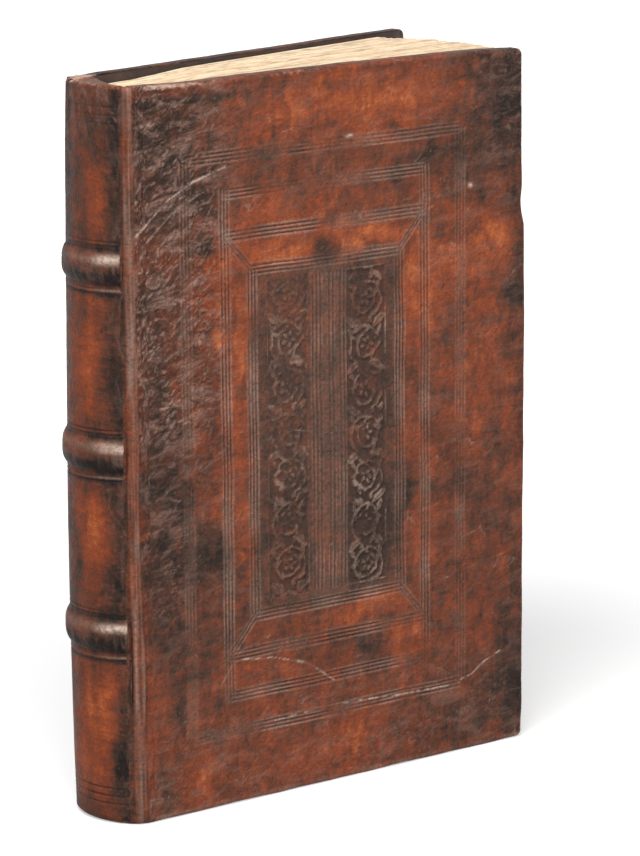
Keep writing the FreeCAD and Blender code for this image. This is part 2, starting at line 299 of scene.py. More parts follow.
class Nodes:
    """The nodes of a material or of the world, added one after another."""

    def __init__(self, owner):
        owner.use_nodes = True
        self.owner = owner
        self.tree = owner.node_tree
        self.shader = self.tree.nodes.get("Principled BSDF") or self.tree.nodes.get("Background")

    def put(self, socket, value):
        """Gives a socket a number or a colour, or links another node's socket to it."""
        if hasattr(value, "is_linked"):
            self.tree.links.new(value, socket)
        else:
            socket.default_value = value

    def add(self, kind, inputs=None, **settings):
        node = self.tree.nodes.new("ShaderNode" + kind)
        for key, value in settings.items():
            setattr(node, key, value)
        for key, value in (inputs or {}).items():
            self.put(node.inputs[key], value)
        return node

    def attribute(self, name, output="Fac"):
        return self.add("Attribute", attribute_name=name).outputs[output]

    def place(self):
        return self.add("TexCoord").outputs["Object"]

    def math(self, operation, first, second, third=0.0, clamp=False):
        inputs = {0: first, 1: second, 2: third}
        return self.add("Math", inputs, operation=operation, use_clamp=clamp).outputs[0]

    def times(self, first, second, clamp=False):
        return self.math("MULTIPLY", first, second, clamp=clamp)

    def noise(self, place, scale, detail=4.0, roughness=0.55, distortion=0.0):
        inputs = {"Vector": place, "Scale": scale, "Detail": detail, "Roughness": roughness,
                  "Distortion": distortion}
        return self.add("TexNoise", inputs).outputs["Fac"]

    def cells(self, place, scale):
        return self.add("TexVoronoi", {"Vector": place, "Scale": scale}).outputs["Distance"]

    def stretched(self, place, length, angle=0.0):
        """Coordinates in which a pattern is drawn out, along x or a direction turned up from it."""
        inputs = {"Vector": place, "Scale": (length, 1, 1), "Rotation": (0, -math.radians(angle), 0)}
        return self.add("Mapping", inputs, vector_type="TEXTURE").outputs["Vector"]

    def ramp(self, value, stops):
        node = self.add("ValToRGB", {"Fac": value})
        elements = node.color_ramp.elements
        elements[0].position, elements[0].color = stops[0]
        elements[1].position, elements[1].color = stops[-1]
        for position, colour in stops[1:-1]:
            elements.new(position).color = colour
        return node.outputs["Color"]

    def span(self, value, low, high, to_low=0.0, to_high=1.0):
        inputs = {"Value": value, "From Min": low, "From Max": high, "To Min": to_low, "To Max": to_high}
        return self.add("MapRange", inputs, interpolation_type="SMOOTHSTEP").outputs["Result"]

    def mix(self, share, first, second):
        inputs = {"Factor": share, "A": first, "B": second}
        return self.add("Mix", inputs, data_type="RGBA", blend_type="MIX").outputs["Result"]

    def bump(self, height, distance, strength, below=None):
        inputs = {"Height": height, "Distance": distance, "Strength": strength}
        if below is not None:
            inputs["Normal"] = below
        return self.add("Bump", inputs).outputs["Normal"]

    def finished(self, colour, roughness, normal):
        """The material, with a colour, a roughness and a bump on its shader."""
        for key, value in (("Base Color", colour), ("Roughness", roughness), ("Normal", normal)):
            self.put(self.shader.inputs[key], value)
        return self.owner


def leather_material():
    """Old calf: orange-brown where it is clean, darkened by handling, with painted shade in its grooves and
    creases, and rubbed pale on its ridges, with painted highlights and a painted sheen.
    """
    n = Nodes(bpy.data.materials.new("worn_leather"))
    place = n.attribute("place", "Vector")
    value, shade_and_dark_marks, rub, pale, wrinkle = (n.attribute(layer) for layer in LEATHER_LAYERS[1:])
    mottle = n.noise(place, 210, 5, 0.7, 0.2)
    flecks = n.noise(place, 700, 4, 0.65, 0.2)
    streaks = n.noise(n.stretched(place, 4.0, 10), 900, 4, 0.6, 0.6)
    upright = n.noise(n.stretched(place, 4.0, 84), 620, 4, 0.6, 0.6)
    for pattern, strength in ((mottle, 0.5), (flecks, 0.45), (streaks, 0.28), (upright, 0.32)):
        value = n.math("ADD", value, n.times(n.math("SUBTRACT", pattern, 0.5), strength))
    colour = n.ramp(value, [
        (0.0, srgb(30, 24, 22)),
        (0.2, srgb(60, 41, 33)),
        (0.36, srgb(87, 50, 37)),
        (0.5, srgb(106, 56, 38)),
        (0.64, srgb(127, 62, 38)),
        (0.8, srgb(146, 73, 42)),
        (1.0, srgb(176, 96, 54)),
    ])
    # A greyish coat in patches, stronger where the leather is wrinkled: partly the leather's own and partly a
    # painted sheen.
    film_and_sheen = n.span(n.noise(n.stretched(place, 2.5, 8), 190, 5, 0.7, 0.6), 0.46, 0.66)
    film_and_sheen = n.times(film_and_sheen, n.math("MULTIPLY_ADD", wrinkle, 0.7, third=0.06))
    colour = n.mix(film_and_sheen, colour, srgb(138, 106, 94))
    # Painted shade: nearly black in the tooled grooves, the rolls' sunk ground and the creases, with the dark
    # cracks and patches.
    colour = n.mix(n.times(shade_and_dark_marks, 0.82, clamp=True), colour, srgb(34, 25, 23))
    patchy = n.span(n.noise(place, 520, 4, 0.7, 0.3), 0.36, 0.64, 0.0, 0.75)
    worn = n.math("SUBTRACT", n.times(rub, 1.5), patchy, clamp=True)
    worn_colour = n.mix(worn, srgb(146, 110, 94), srgb(188, 160, 142))
    colour = n.mix(n.times(worn, 0.72), colour, worn_colour)
    # Pale marks mixed towards a pale pinkish grey: real scratches, spots and wear, and painted highlights on the
    # folds' tops, the ridges and the spine's bands.
    dust_and_any_highlight = n.times(pale, n.span(flecks, 0.3, 0.6, 0.6, 1.0), clamp=True)
    dust_and_highlight_colour = n.mix(dust_and_any_highlight, srgb(150, 114, 98), srgb(200, 178, 162))
    colour = n.mix(n.times(dust_and_any_highlight, 0.85), colour, dust_and_highlight_colour)
    rough = n.math("ADD", n.span(mottle, 0.35, 0.65, 0.42, 0.6), n.times(rub, 0.15))
    n.shader.inputs["Specular IOR Level"].default_value = 0.09
    folds = n.times(n.noise(n.stretched(place, 1.8, 35), 420, 5, 0.6, 0.6), wrinkle)
    normal = n.bump(folds, 0.0012, 0.7)
    normal = n.bump(mottle, 0.0012, 0.6, normal)
    normal = n.bump(flecks, 0.0005, 0.6, normal)
    normal = n.bump(n.cells(place, 1150), 0.0002, 0.5, normal)
    return n.finished(colour, rough, normal)


def shaded_leather_back_material():
    """The leather turned in over the boards' inner faces: matt, in soft clouds of dark brown, darker than the
    outside leather as painted shade.
    """
    n = Nodes(bpy.data.materials.new("shaded_leather_turn_in"))
    place = n.attribute("place", "Vector")
    stops = [(0.25, srgb(34, 26, 24)), (0.5, srgb(50, 36, 30)), (0.75, srgb(74, 52, 42))]
    colour = n.ramp(n.noise(place, 120, 5, 0.6), stops)
    return n.finished(colour, 0.75, n.bump(n.noise(place, 1400, 4, 0.6), 0.0003, 0.5))


def paper_material(name, light, dark, foxing):
    """Rag paper with soft clouds, fibres and brown foxing spots."""
    n = Nodes(bpy.data.materials.new(name))
    place = n.place()
    colour = n.mix(n.span(n.noise(place, 35, 4, 0.6), 0.3, 0.75), light, dark)
    spots = n.span(n.noise(place, 160, 3, 0.6), 0.62, 0.76, 0.0, foxing)
    colour = n.mix(spots, colour, srgb(150, 104, 62))
    fibres = n.noise(n.stretched(place, 4, 90), 1600, 4, 0.6)
    return n.finished(colour, 0.85, n.bump(fibres, 0.00015, 0.4))


def leaf_material():
    """The leaves' paper: each leaf has its own shade, and the edges are browner."""
    n = Nodes(bpy.data.materials.new("leaf_paper"))
    place = n.place()
    cloud = n.noise(place, 60, 5, 0.62)
    value = n.math("ADD", n.times(n.attribute("shade"), 0.55), n.times(cloud, 0.45))
    stops = [(0.15, srgb(198, 168, 132)), (0.5, srgb(228, 206, 174)), (0.85, srgb(245, 232, 210))]
    dust_and_any_highlight = n.span(n.noise(n.stretched(place, 8), 900, 4, 0.6), 0.42, 0.68)
    dust_and_any_highlight = n.times(n.times(n.attribute("edge"), dust_and_any_highlight), 0.6)
    colour = n.mix(dust_and_any_highlight, n.ramp(value, stops), srgb(150, 114, 80))
    return n.finished(colour, 0.85, n.bump(n.noise(place, 1500, 3, 0.6), 0.00012, 0.35))


def wood_material(name, light, dark):
    """Bare oak or beech with its grain along the height."""
    n = Nodes(bpy.data.materials.new(name))
    rings = n.noise(n.stretched(n.place(), 14, 90), 420, 5, 0.65, 0.8)
    return n.finished(n.mix(n.span(rings, 0.35, 0.68), light, dark), 0.7, n.bump(rings, 0.0003, 0.6))


def fibre_material(name, light, dark, twist):
    """Twisted cord or thread, with slanting strands."""
    n = Nodes(bpy.data.materials.new(name))
    inputs = {"Vector": n.place(), "Scale": twist, "Distortion": 2.0}
    wave = n.add("TexWave", inputs, wave_type="BANDS", bands_direction="DIAGONAL").outputs["Fac"]
    return n.finished(n.mix(wave, dark, light), 0.9, n.bump(wave, 0.0003, 0.7))


# Blind tooling as heights over the outer face of a cover

def tooled_line(x, z, x0, z0, x1, z1):
    """How deep a straight tooled line is sunk, the ridge that stands beside it and a pale band round it. The
    groove is later darkened as painted shade, and the ridge and band lightened as rubbing and a painted highlight.
    """
    length = math.hypot(x1 - x0, z1 - z0)
    along = ((x - x0) * (x1 - x0) + (z - z0) * (z1 - z0)) / length
    aside = np.abs((x - x0) * (z1 - z0) - (z - z0) * (x1 - x0)) / length
    ends = ease(-0.6, 0.4, along) * ease(-0.6, 0.4, length - along)
    groove = np.clip(1 - aside / line_half_width, 0, 1) * ends
    ridge = np.clip(1.2 - np.abs(aside - line_spacing / 2) / 0.5, 0, 1) * ends
    return groove, ridge, ease(2.2, 0.6, aside) * ends


def tooled_lines(x, z, lines):
    """The grooves, ridges and pale bands of several lines together."""
    found = [np.zeros_like(x)] * 3
    for line in lines:
        found = [np.maximum(old, new) for old, new in zip(found, tooled_line(x, z, *line))]
    return found


def fillet_lines():
    """The ends of every line of the nested frames and of their mitred corners."""
    lines = []
    level = [
        (panel_half_width, panel_half_height),
        (mitre_frame_half_width, mitre_frame_half_height),
        (mitre_frame_half_width, tall_frame_half_height),
        (outer_frame_half_width, outer_frame_half_height),
    ]
    upright = [
        (panel_half_width, panel_half_height),
        (mitre_frame_half_width, tall_frame_half_height + outer_fillet_overrun),
        (outer_frame_half_width, outer_frame_half_height),
    ]
    cx, cz = frame_centre_x, frame_centre_z
    for side in (-1, 1):
        for step in (-line_spacing, 0.0, line_spacing):
            for half_length, height in level:
                z = cz + side * height + step
                lines.append((cx - half_length, z, cx + half_length, z))
            for place, half_length in upright:
                x = cx + side * place + step
                lines.append((x, cz - half_length, x, cz + half_length))
        for end in (-1, 1):
            for step in (-0.9, 0.9):
                lines.append((cx + side * panel_half_width, cz + end * panel_half_height + step,
                              cx + side * mitre_frame_half_width, cz + end * mitre_frame_half_height + step))
    return lines


def petal(x, z, centre_x, centre_z, length, width, angle):
    """A leaf shape with a sunk vein: 1 over most of it and 0 outside it."""
    c, s = cos_sin(angle)
    along = ((x - centre_x) * c + (z - centre_z) * s) / (length / 2)
    aside = (-(x - centre_x) * s + (z - centre_z) * c) / (width / 2)
    radius = np.sqrt(along ** 2 + (aside * (1 + 0.7 * along ** 2)) ** 2)
    vein = 0.4 * bump_curve(aside, 0.3) * ease(1.0, 0.5, radius)
    return ease(1.1, 0.8, radius) - vein


def curl(u, v, middle, hand):
    """A tendril that winds in from the edge of a roll to the flower in its middle."""
    du = hand * u
    dv = v - middle
    distance = np.hypot(du, dv)
    start = math.radians(-70)
    angle = np.mod(np.arctan2(dv, du) - start, 2 * math.pi)
    line = np.zeros_like(u)
    for turn in (0, 1):
        wound = (angle + 2 * math.pi * turn) / (2 * math.pi)
        radius = curl_radius - 3.1 * wound
        inside = ease(0.0, 0.05, wound) * ease(1.45, 1.3, wound)
        line = np.maximum(line, inside * ease(0.75, 0.4, np.abs(distance - radius)))
    return line


def repeat_petals(middle, hand):
    """One repeat's petals, leaves and corner leaves: place, length, width and angle of each."""
    shapes = []
    for turn in range(0, 360, 72):
        c, s = cos_sin(turn)
        shapes.append((2.0 * c, middle + 2.0 * s, 2.6, 1.7, turn))
    for turn in (20, 95, 165, 235):
        c, s = cos_sin(turn)
        shapes.append((5.6 * hand * c, middle + 5.6 * s, 4.6, 2.0, hand * (turn + 40)))
    corner = middle + flower_pitch / 2
    for side in (-1, 1):
        shapes.append((side * 6.2, corner, 7.5, 3.4, -side * 40 * hand))
        shapes.append((side * 6.6, corner - 3.6, 5.0, 2.2, side * 70))
        shapes.append((side * 3.0, corner + 0.8 * side, 4.6, 2.0, side * 62))
    return shapes


def foliate_roll(u, v):
    """The standing part of a scrolling roll: a curl round a flower in each repeat, with leaves beside it."""
    worn_u = u + 0.8 * noise(u, v, 5.0, 141) + 0.4 * noise(u, v, 1.9, 142)
    worn_v = v + 0.8 * noise(u, v, 5.0, 143) + 0.4 * noise(u, v, 1.9, 144)
    u, v = worn_u, worn_v
    standing = np.zeros_like(u)
    half_count = int(panel_half_height // flower_pitch) + 1
    for index in range(-half_count, half_count + 1):
        hand = 1 if index % 2 else -1
        middle = index * flower_pitch
        standing = np.maximum(standing, curl(u, v, middle, hand))
        for shape in repeat_petals(middle, hand):
            standing = np.maximum(standing, petal(u, v, *shape))
    lost = ease(0.1, 0.6, rough_noise(u, v, 6.0, 151, 2)) * ease(-44, -36, v)
    return np.clip(standing * (1 - 0.7 * lost), 0, 1)


def rolls(x, z):
    """Depth of the two rolls' ground, with their ornament left standing, from 0 to 1."""
    depth = np.zeros_like(x)
    v = z - frame_centre_z
    half_height = panel_half_height - roll_border
    for side in (-1, 1):
        u = x - frame_centre_x - side * roll_offset
        inside = ease(0, 0.5, roll_half_width - np.abs(u)) * ease(0, 0.5, half_height - np.abs(v))
        worn = 0.85 + 0.15 * noise(x, z, 9, 41)
        if side < 0:
            worn = worn * (0.55 + 0.45 * ease(130, 110, z))
        depth += inside * (1 - foliate_roll(u, v + 3.0 * side)) * worn
    return depth


def tooling(x, z, with_rolls):
    """The tooling of a cover's face: lines, ridges beside them, and the rolls' ground, from 0 to 1."""
    x = x + 0.25 * noise(x, z, 16, 7)
    z = z + 0.25 * noise(x, z, 16, 8)
    fade = 0.85 + 0.15 * noise(x, z, 14, 5)
    fade = fade * (1 - 0.75 * ease(0.1, 0.6, rough_noise(x, z, 26, 9)))
    inner = ease(outer_frame_half_width - 4, mitre_frame_half_width + 4, np.abs(x - frame_centre_x))
    fade = fade * (0.6 + 0.4 * inner)
    groove, ridge, dust_and_any_highlight = tooled_lines(x, z, fillet_lines())
    groove = groove * fade
    ridge = np.maximum(ridge * fade, 0.42 * dust_and_any_highlight * ease(-0.5, 0.3, rough_noise(x, z, 18, 15)))
    ground = np.zeros_like(x)
    if with_rolls:
        half_height = panel_half_height - roll_border
        low, high = frame_centre_z - half_height, frame_centre_z + half_height
        places = [frame_centre_x + offset for offset in centre_line_offsets]
        centre_groove, centre_ridge, _ = tooled_lines(x, z, [(place, low, place, high) for place in places])
        groove = np.maximum(groove, 0.9 * centre_groove)
        ridge = np.maximum(ridge, 0.7 * centre_ridge)
        ground = rolls(x, z)
        # The rolls' standing parts are lightened as rubbing and a painted highlight, more on the right roll.
        edge = 0.5 + 0.25 * noise(x, z, 9, 145) + 0.35 * noise(x, z, 1.3, 146) + 0.12 * ease(125, 100, z)
        edge = edge + 0.2 * ease(0, 5, x - frame_centre_x)
        edge = edge * standing_edge(x, z)
        ridge = np.maximum(ridge, np.clip(edge, 0.1, None) * ease(0.6, 0.1, ground))
    return groove, ridge, ground


def standing_edge(x, z):
    """1 over the rolls, where what stands is rubbed and given a painted highlight, and 0 elsewhere."""
    inside = np.abs(np.abs(x - frame_centre_x) - roll_offset) < roll_half_width
    return inside * (np.abs(z - frame_centre_z) < panel_half_height - roll_border)


# Colour zones of the front cover and the spine as soft spots (place, half size and strength), and the front
# cover's scratches (four points that each runs through, and its strength)

orange_spots = (
    (102, 265, 40, 9, 0.34), (60, 227, 22, 6, 0.32), (100, 214, 24, 5, 0.42), (60, 212, 14, 5, 0.36),
    (45, 170, 6, 34, 0.32), (45, 110, 5, 18, 0.2), (130, 188, 9, 24, 0.42), (146, 205, 12, 14, 0.34),
    (166, 204, 9, 9, 0.34), (160, 150, 16, 34, 0.2), (127, 130, 8, 20, 0.18), (107, 67, 15, 5, 0.42),
    (124, 52, 9, 7, 0.3), (52, 52, 16, 6, 0.16), (90, 15, 34, 11, 0.24), (28, 15, 9, 9, 0.3),
    (34, 205, 5, 12, 0.24), (130, 90, 6, 16, 0.24), (4, 52, 5, 8, 0.2), (3, 28, 5, 20, 0.12),
    (166, 46, 9, 12, 0.12), (60, 36, 22, 5, 0.16),
)
dark_spots = (
    (12, 258, 22, 18, 0.34), (24, 236, 18, 12, 0.2), (6, 205, 8, 40, 0.16), (10, 125, 10, 48, 0.38),
    (150, 150, 30, 60, 0.07), (170, 262, 17, 26, 0.42), (150, 238, 12, 10, 0.16), (178, 200, 4, 80, 0.16),
    (176, 30, 12, 34, 0.34), (150, 14, 20, 14, 0.12),
    (27, 217, 4, 4, 0.42), (84, 211, 5, 5, 0.36), (30, 97, 7, 7, 0.34), (105, 99, 8, 17, 0.4),
    (121, 107, 4, 7, 0.34), (138, 111, 18, 3, 0.22), (143, 213, 6, 5, 0.26), (134, 242, 8, 5, 0.24),
    (118, 240, 20, 6, 0.12), (26, 75, 18, 34, 0.16), (105, 52, 6, 5, 0.22), (120, 14, 8, 8, 0.2),
    (60, 248, 20, 5, 0.12), (90, 140, 40, 70, 0.1), (176, 186, 4, 6, 0.3), (10, 12, 10, 10, 0.16),
)
round_spots = (
    (32, 218, 1.8, 2.2, 0.5), (83, 213, 2.6, 3.2, 0.36), (37, 101, 3.4, 4.4, 0.36), (112, 96, 5.0, 10, 0.3),
    (36, 183, 4.6, 6.0, 0.2),
)
spine_spots = (
    (17, 50, 6, 12, 0.26), (24, 48, 7, 18, 0.14), (9, 20, 4, 10, -0.3), (19, 180, 3.5, 15, 0.42),
    (24, 168, 3, 12, 0.2), (19, 112, 5, 15, 0.32), (11, 98, 4, 8, -0.24), (15, 236, 3.5, 9, 0.34),
    (24, 244, 5, 12, 0.1), (11, 130, 4, 6, -0.24), (28, 160, 5, 18, 0.12), (22, 24, 7, 14, 0.24),
)
scratches = (
    ((0, 225), (14, 237), (26, 243), (40, 247), 0.8), ((3, 221), (16, 232), (28, 238), (36, 240), 0.5),
    ((45, 57), (60, 55), (76, 50), (88, 41), 0.7), ((28, 118), (27, 108), (30, 104), (36, 103), 0.22),
    ((60, 30), (90, 31), (120, 29), (150, 28), 0.8), ((148, 29), (156, 31), (162, 35), (170, 38), 0.8),
    ((31, 189), (34, 190), (37, 188), (39, 185), 0.4), ((31, 176), (35, 175), (38, 178), (40, 181), 0.35),
    ((35, 48), (44, 60), (50, 62), (58, 64), 0.4), ((10, 203), (22, 218), (30, 226), (34, 233), 0.45),
    ((0, 190), (8, 199), (14, 203), (20, 210), 0.4), ((52, 140), (70, 143), (90, 139), (110, 141), 0.3),
)


def scratch(x, z, points, width):
    """A thin worn line through a few points."""
    found = np.full_like(x, 1e3)
    for (x0, z0), (x1, z1) in zip(points[:-1], points[1:]):
        length = (x1 - x0) ** 2 + (z1 - z0) ** 2
        share = np.clip(((x - x0) * (x1 - x0) + (z - z0) * (z1 - z0)) / length, 0, 1)
        found = np.minimum(found, np.hypot(x - x0 - share * (x1 - x0), z - z0 - share * (z1 - z0)))
    wander = 0.7 + 0.5 * noise(x, z, 3, 77)
    broken = 0.35 + 0.65 * ease(-0.5, 0.2, noise(x, z, 3.5, 78) + 0.4 * noise(x, z, 1.2, 79))
    return ease(width * wander, 0, found) * broken


def front_colours(x, z):
    """Tone, rubbing, pale marks and wrinkling of the front cover at each point of its face."""
    tone = np.full_like(x, 0.47)
    wander_x = x + 5 * rough_noise(x, z, 16, 101)
    wander_z = z + 5 * rough_noise(x, z, 16, 111)
    for spot in orange_spots:
        tone = tone + spot[4] * soft_spot(wander_x, wander_z, *spot[:4])
    for spot in dark_spots:
        tone = tone - spot[4] * soft_spot(wander_x, wander_z, *spot[:4])
    panel = ease(2, -2, np.abs(x - frame_centre_x) - panel_half_width) * ease(
        2, -2, np.abs(z - frame_centre_z) - panel_half_height)
    middle_lands = ease(10, 8, np.abs(x - frame_centre_x - 1)) * panel
    tone = tone - 0.16 * panel + 0.06 * middle_lands
    # Painted shade: a dark band under the head edge, where the fold over the head has a groove.
    tone = tone - 0.3 * ease(60, 40, x) * bump_curve(z - 273.5, 3.5)
    tone = tone + 0.7 * soft_spot(x, z, 36, 183, 2.8, 4.4)
    for spot in round_spots:
        tone = tone - spot[4] * soft_spot(x + noise(x, z, 3, 91), z, *spot[:4])
    pale = 0.08 * middle_lands + 0.12 * panel
    for *points, strength in scratches:
        pale = np.maximum(pale, 1.3 * strength * scratch(x, z, points, 1.0))
    pale = np.maximum(pale, 1.2 * soft_spot(x, z, 155, 228, 1.2, 1.0))
    pale = np.maximum(pale, 1.0 * soft_spot(x, z, 97, 253, 2.2, 0.8))
    wrinkle = 0.14 + 0.1 * rough_noise(x, z, 40, 121)
    wrinkle = np.maximum(wrinkle, ease(56, 18, wander_x) * ease(80, 180, wander_z))
    wrinkle = np.maximum(wrinkle, 0.55 * ease(30, 14, wander_x) * ease(66, 84, wander_z))
    wrinkle = np.maximum(wrinkle, 0.45 * ease(150, 172, wander_x) * ease(215, 245, wander_z))
    wrinkle = np.maximum(wrinkle, 0.35 * ease(60, 20, wander_z))
    wrinkle = wrinkle * (1 - 0.8 * panel)
    return tone, np.zeros_like(x), pale, wrinkle


def rear_colours(x, z):
    """Tone, rubbing, pale marks and wrinkling of the rear cover: plain, and darker towards its edges."""
    edge = np.minimum(np.minimum(z, cover_height - z), cover_width - x)
    tone = 0.5 + 0.16 * rough_noise(x, z, 60, 31) - 0.16 * ease(26, 4, edge) - 0.14 * ease(24, 4, x)
    rub = 1.1 * ease(13, 7, x) * ease(cover_height - 4.5, cover_height - 2.5, z)
    return tone, rub, np.zeros_like(x), 0.3 * ease(40, 8, x)


# Covers

def edge_profile():
    """Where each column lies past the face's flat part: unrolled place, distance out and depth."""
    flat = corner_radius - edge_rounding
    steps = [(s, s, 0.0) for s in (0.0, flat / 2, flat)]
    for angle in np.linspace(0, math.pi / 2, 7)[1:]:
        steps.append((flat + edge_rounding * angle, flat + edge_rounding * math.sin(angle),
                      edge_rounding * (1 - math.cos(angle))))
    wall_start = flat + edge_rounding * math.pi / 2
    inner_rounding = 0.5
    wall = cover_thickness - edge_rounding - inner_rounding
    for share in (0.35, 0.7, 1.0):
        steps.append((wall_start + wall * share, corner_radius, edge_rounding + wall * share))
    for angle in np.linspace(0, math.pi / 2, 4)[1:]:
        steps.append((wall_start + wall + inner_rounding * angle,
                      corner_radius - inner_rounding * (1 - math.cos(angle)),
                      cover_thickness - inner_rounding * (1 - math.sin(angle))))
    return np.array(steps)


def thinned(places, least):
    """The places in order, without those that follow another by less than a least step."""
    places = sorted(places)
    kept = places[:1]
    for place in places[1:]:
        if place - kept[-1] > least:
            kept.append(place)
    return np.array(kept)


def places_along(start, end, coarse, fine_zones, lines):
    """Grid places from start to end: coarse, finer in some zones, and three on each tooled line."""
    places = list(np.linspace(start, end, int(round((end - start) / coarse)) + 1))
    for low, high, step in fine_zones:
        places = [p for p in places if not low < p < high]
        places += list(np.linspace(low, high, int(round((high - low) / step)) + 1))
    for line in lines:
        places = [p for p in places if abs(p - line) > 0.68]
        places += [line - line_half_width, line, line + line_half_width]
    return thinned([p for p in places if start <= p <= end], 0.12)


def frame_lines(centre, distances):
    """The places of the triple lines of the frames on both sides of a centre."""
    return [centre + side * distance + step
            for side in (-1, 1)
            for distance in distances
            for step in (-line_spacing, 0.0, line_spacing)]


def mitre_zones(centre, inner, outer):
    """The stretches between the panel and its frame, where the mitred corners need a finer grid."""
    zones = []
    for side in (-1, 1):
        low, high = sorted((centre + side * inner, centre + side * outer))
        zones.append((low + 2, high - 2, mitre_grid_step))
    return zones


def face_columns(with_rolls):
    """The grid's places across a cover's face, from the hinge to the fore-edge's rounding."""
    lines = frame_lines(frame_centre_x, (panel_half_width, mitre_frame_half_width, outer_frame_half_width))
    zones = mitre_zones(frame_centre_x, panel_half_width, mitre_frame_half_width)
    if with_rolls:
        for side in (-1, 1):
            middle = frame_centre_x + side * roll_offset
            zones.append((middle - roll_half_width, middle + roll_half_width, 0.5))
        lines += [frame_centre_x + offset for offset in centre_line_offsets]
    coarse = grid_step if with_rolls else plain_grid_step
    return places_along(board_setback, cover_width - corner_radius, coarse, zones, lines)


def face_rows(with_rolls):
    """The grid's places up a cover's face, between the roundings of its tail and head."""
    lines = frame_lines(frame_centre_z, (panel_half_height, mitre_frame_half_height, tall_frame_half_height,
                                         outer_frame_half_height))
    zones = mitre_zones(frame_centre_z, panel_half_height, mitre_frame_half_height)
    if with_rolls:
        half_height = panel_half_height - roll_border
        zones.append((frame_centre_z - half_height, frame_centre_z + half_height, 0.52))
    coarse = grid_step if with_rolls else plain_grid_step
    return places_along(corner_radius, cover_height - corner_radius, coarse, zones, lines)


def worn_fore_edge(z):
    """How far the front cover's fore-edge bows out, and where it is worn in."""
    bowed = 0.9 * bump_curve(z - 170, 90) + 0.4 * ease(150, 120, z) * ease(0, 20, z)
    return bowed - 0.85 * ease(209, 214, z) - 0.6 * bump_curve(z - 219, 7)


def worn_head_edge(x):
    """How far the front cover's head edge is worn down."""
    return 0.5 * bump_curve(x - 28, 30) + 1.1 * ease(148, 184, x)


def worn(side, x, z):
    """Places on a cover after the wear of its fore-edge and head."""
    at_head = ease(cover_height - 12, cover_height, z)
    at_fore_edge = ease(cover_width - 14, cover_width, x)
    if side == FRONT:
        return x + worn_fore_edge(z) * at_fore_edge, z - worn_head_edge(x) * at_head
    return x - 1.1 * at_head * at_fore_edge, z


def cover_grid(with_rolls):
    """A cover's skin before its relief: places and depth, how far each point is past the face's flat part,
    the direction out over the edges, and how much each point belongs to the face."""
    profile = edge_profile()
    columns = face_columns(with_rolls)
    rows = face_rows(with_rolls)
    beyond_x = np.concatenate([columns - (cover_width - corner_radius), profile[1:, 0]])
    height_span = rows[-1] - rows[0]
    beyond_z = np.concatenate([-profile[:0:-1, 0], rows - rows[0], profile[1:, 0] + rows[-1] - rows[0]])
    a, row = np.meshgrid(beyond_x, beyond_z)
    b = np.maximum(row - height_span, -row)
    upwards = row > height_span / 2
    reach_a = np.clip(a, 0, None)
    reach_b = np.clip(b, 0, None)
    reach = np.maximum(reach_a, reach_b)
    out = np.interp(reach, profile[:, 0], profile[:, 1])
    depth = np.interp(reach, profile[:, 0], profile[:, 2])
    spread = np.maximum(np.hypot(reach_a, reach_b), 1e-9)
    outward_x = reach_a / spread
    outward_z = np.where(upwards, reach_b, -reach_b) / spread
    x = np.where(a > 0, cover_width - corner_radius + out * outward_x, a + cover_width - corner_radius)
    corner_z = np.where(upwards, cover_height - corner_radius, corner_radius)
    z = np.where(b > 0, corner_z + out * outward_z, row + corner_radius)
    flat = corner_radius - edge_rounding
    on_face = ease(flat, flat - 2.0, np.maximum(a, b))
    return x, z, depth, reach, outward_x, outward_z, on_face


def cover_rub(side, x, z, reach):
    """How rubbed the edges and corners of a cover are."""
    edge_wear = bump_curve(reach - 2.2, 2.4)
    edge_wear = edge_wear * (0.3 + 0.7 * ease(-0.1, 0.6, rough_noise(x, z, 22, 23 + side)))
    corner_wear = ease(9, 2, np.hypot(x - cover_width, np.minimum(z, cover_height - z)))
    head_wear = (side == FRONT) * ease(34, 20, x) * ease(cover_height - 2.0, cover_height - 1.2, z)
    return 0.5 * edge_wear + 0.4 * corner_wear + 0.4 * head_wear


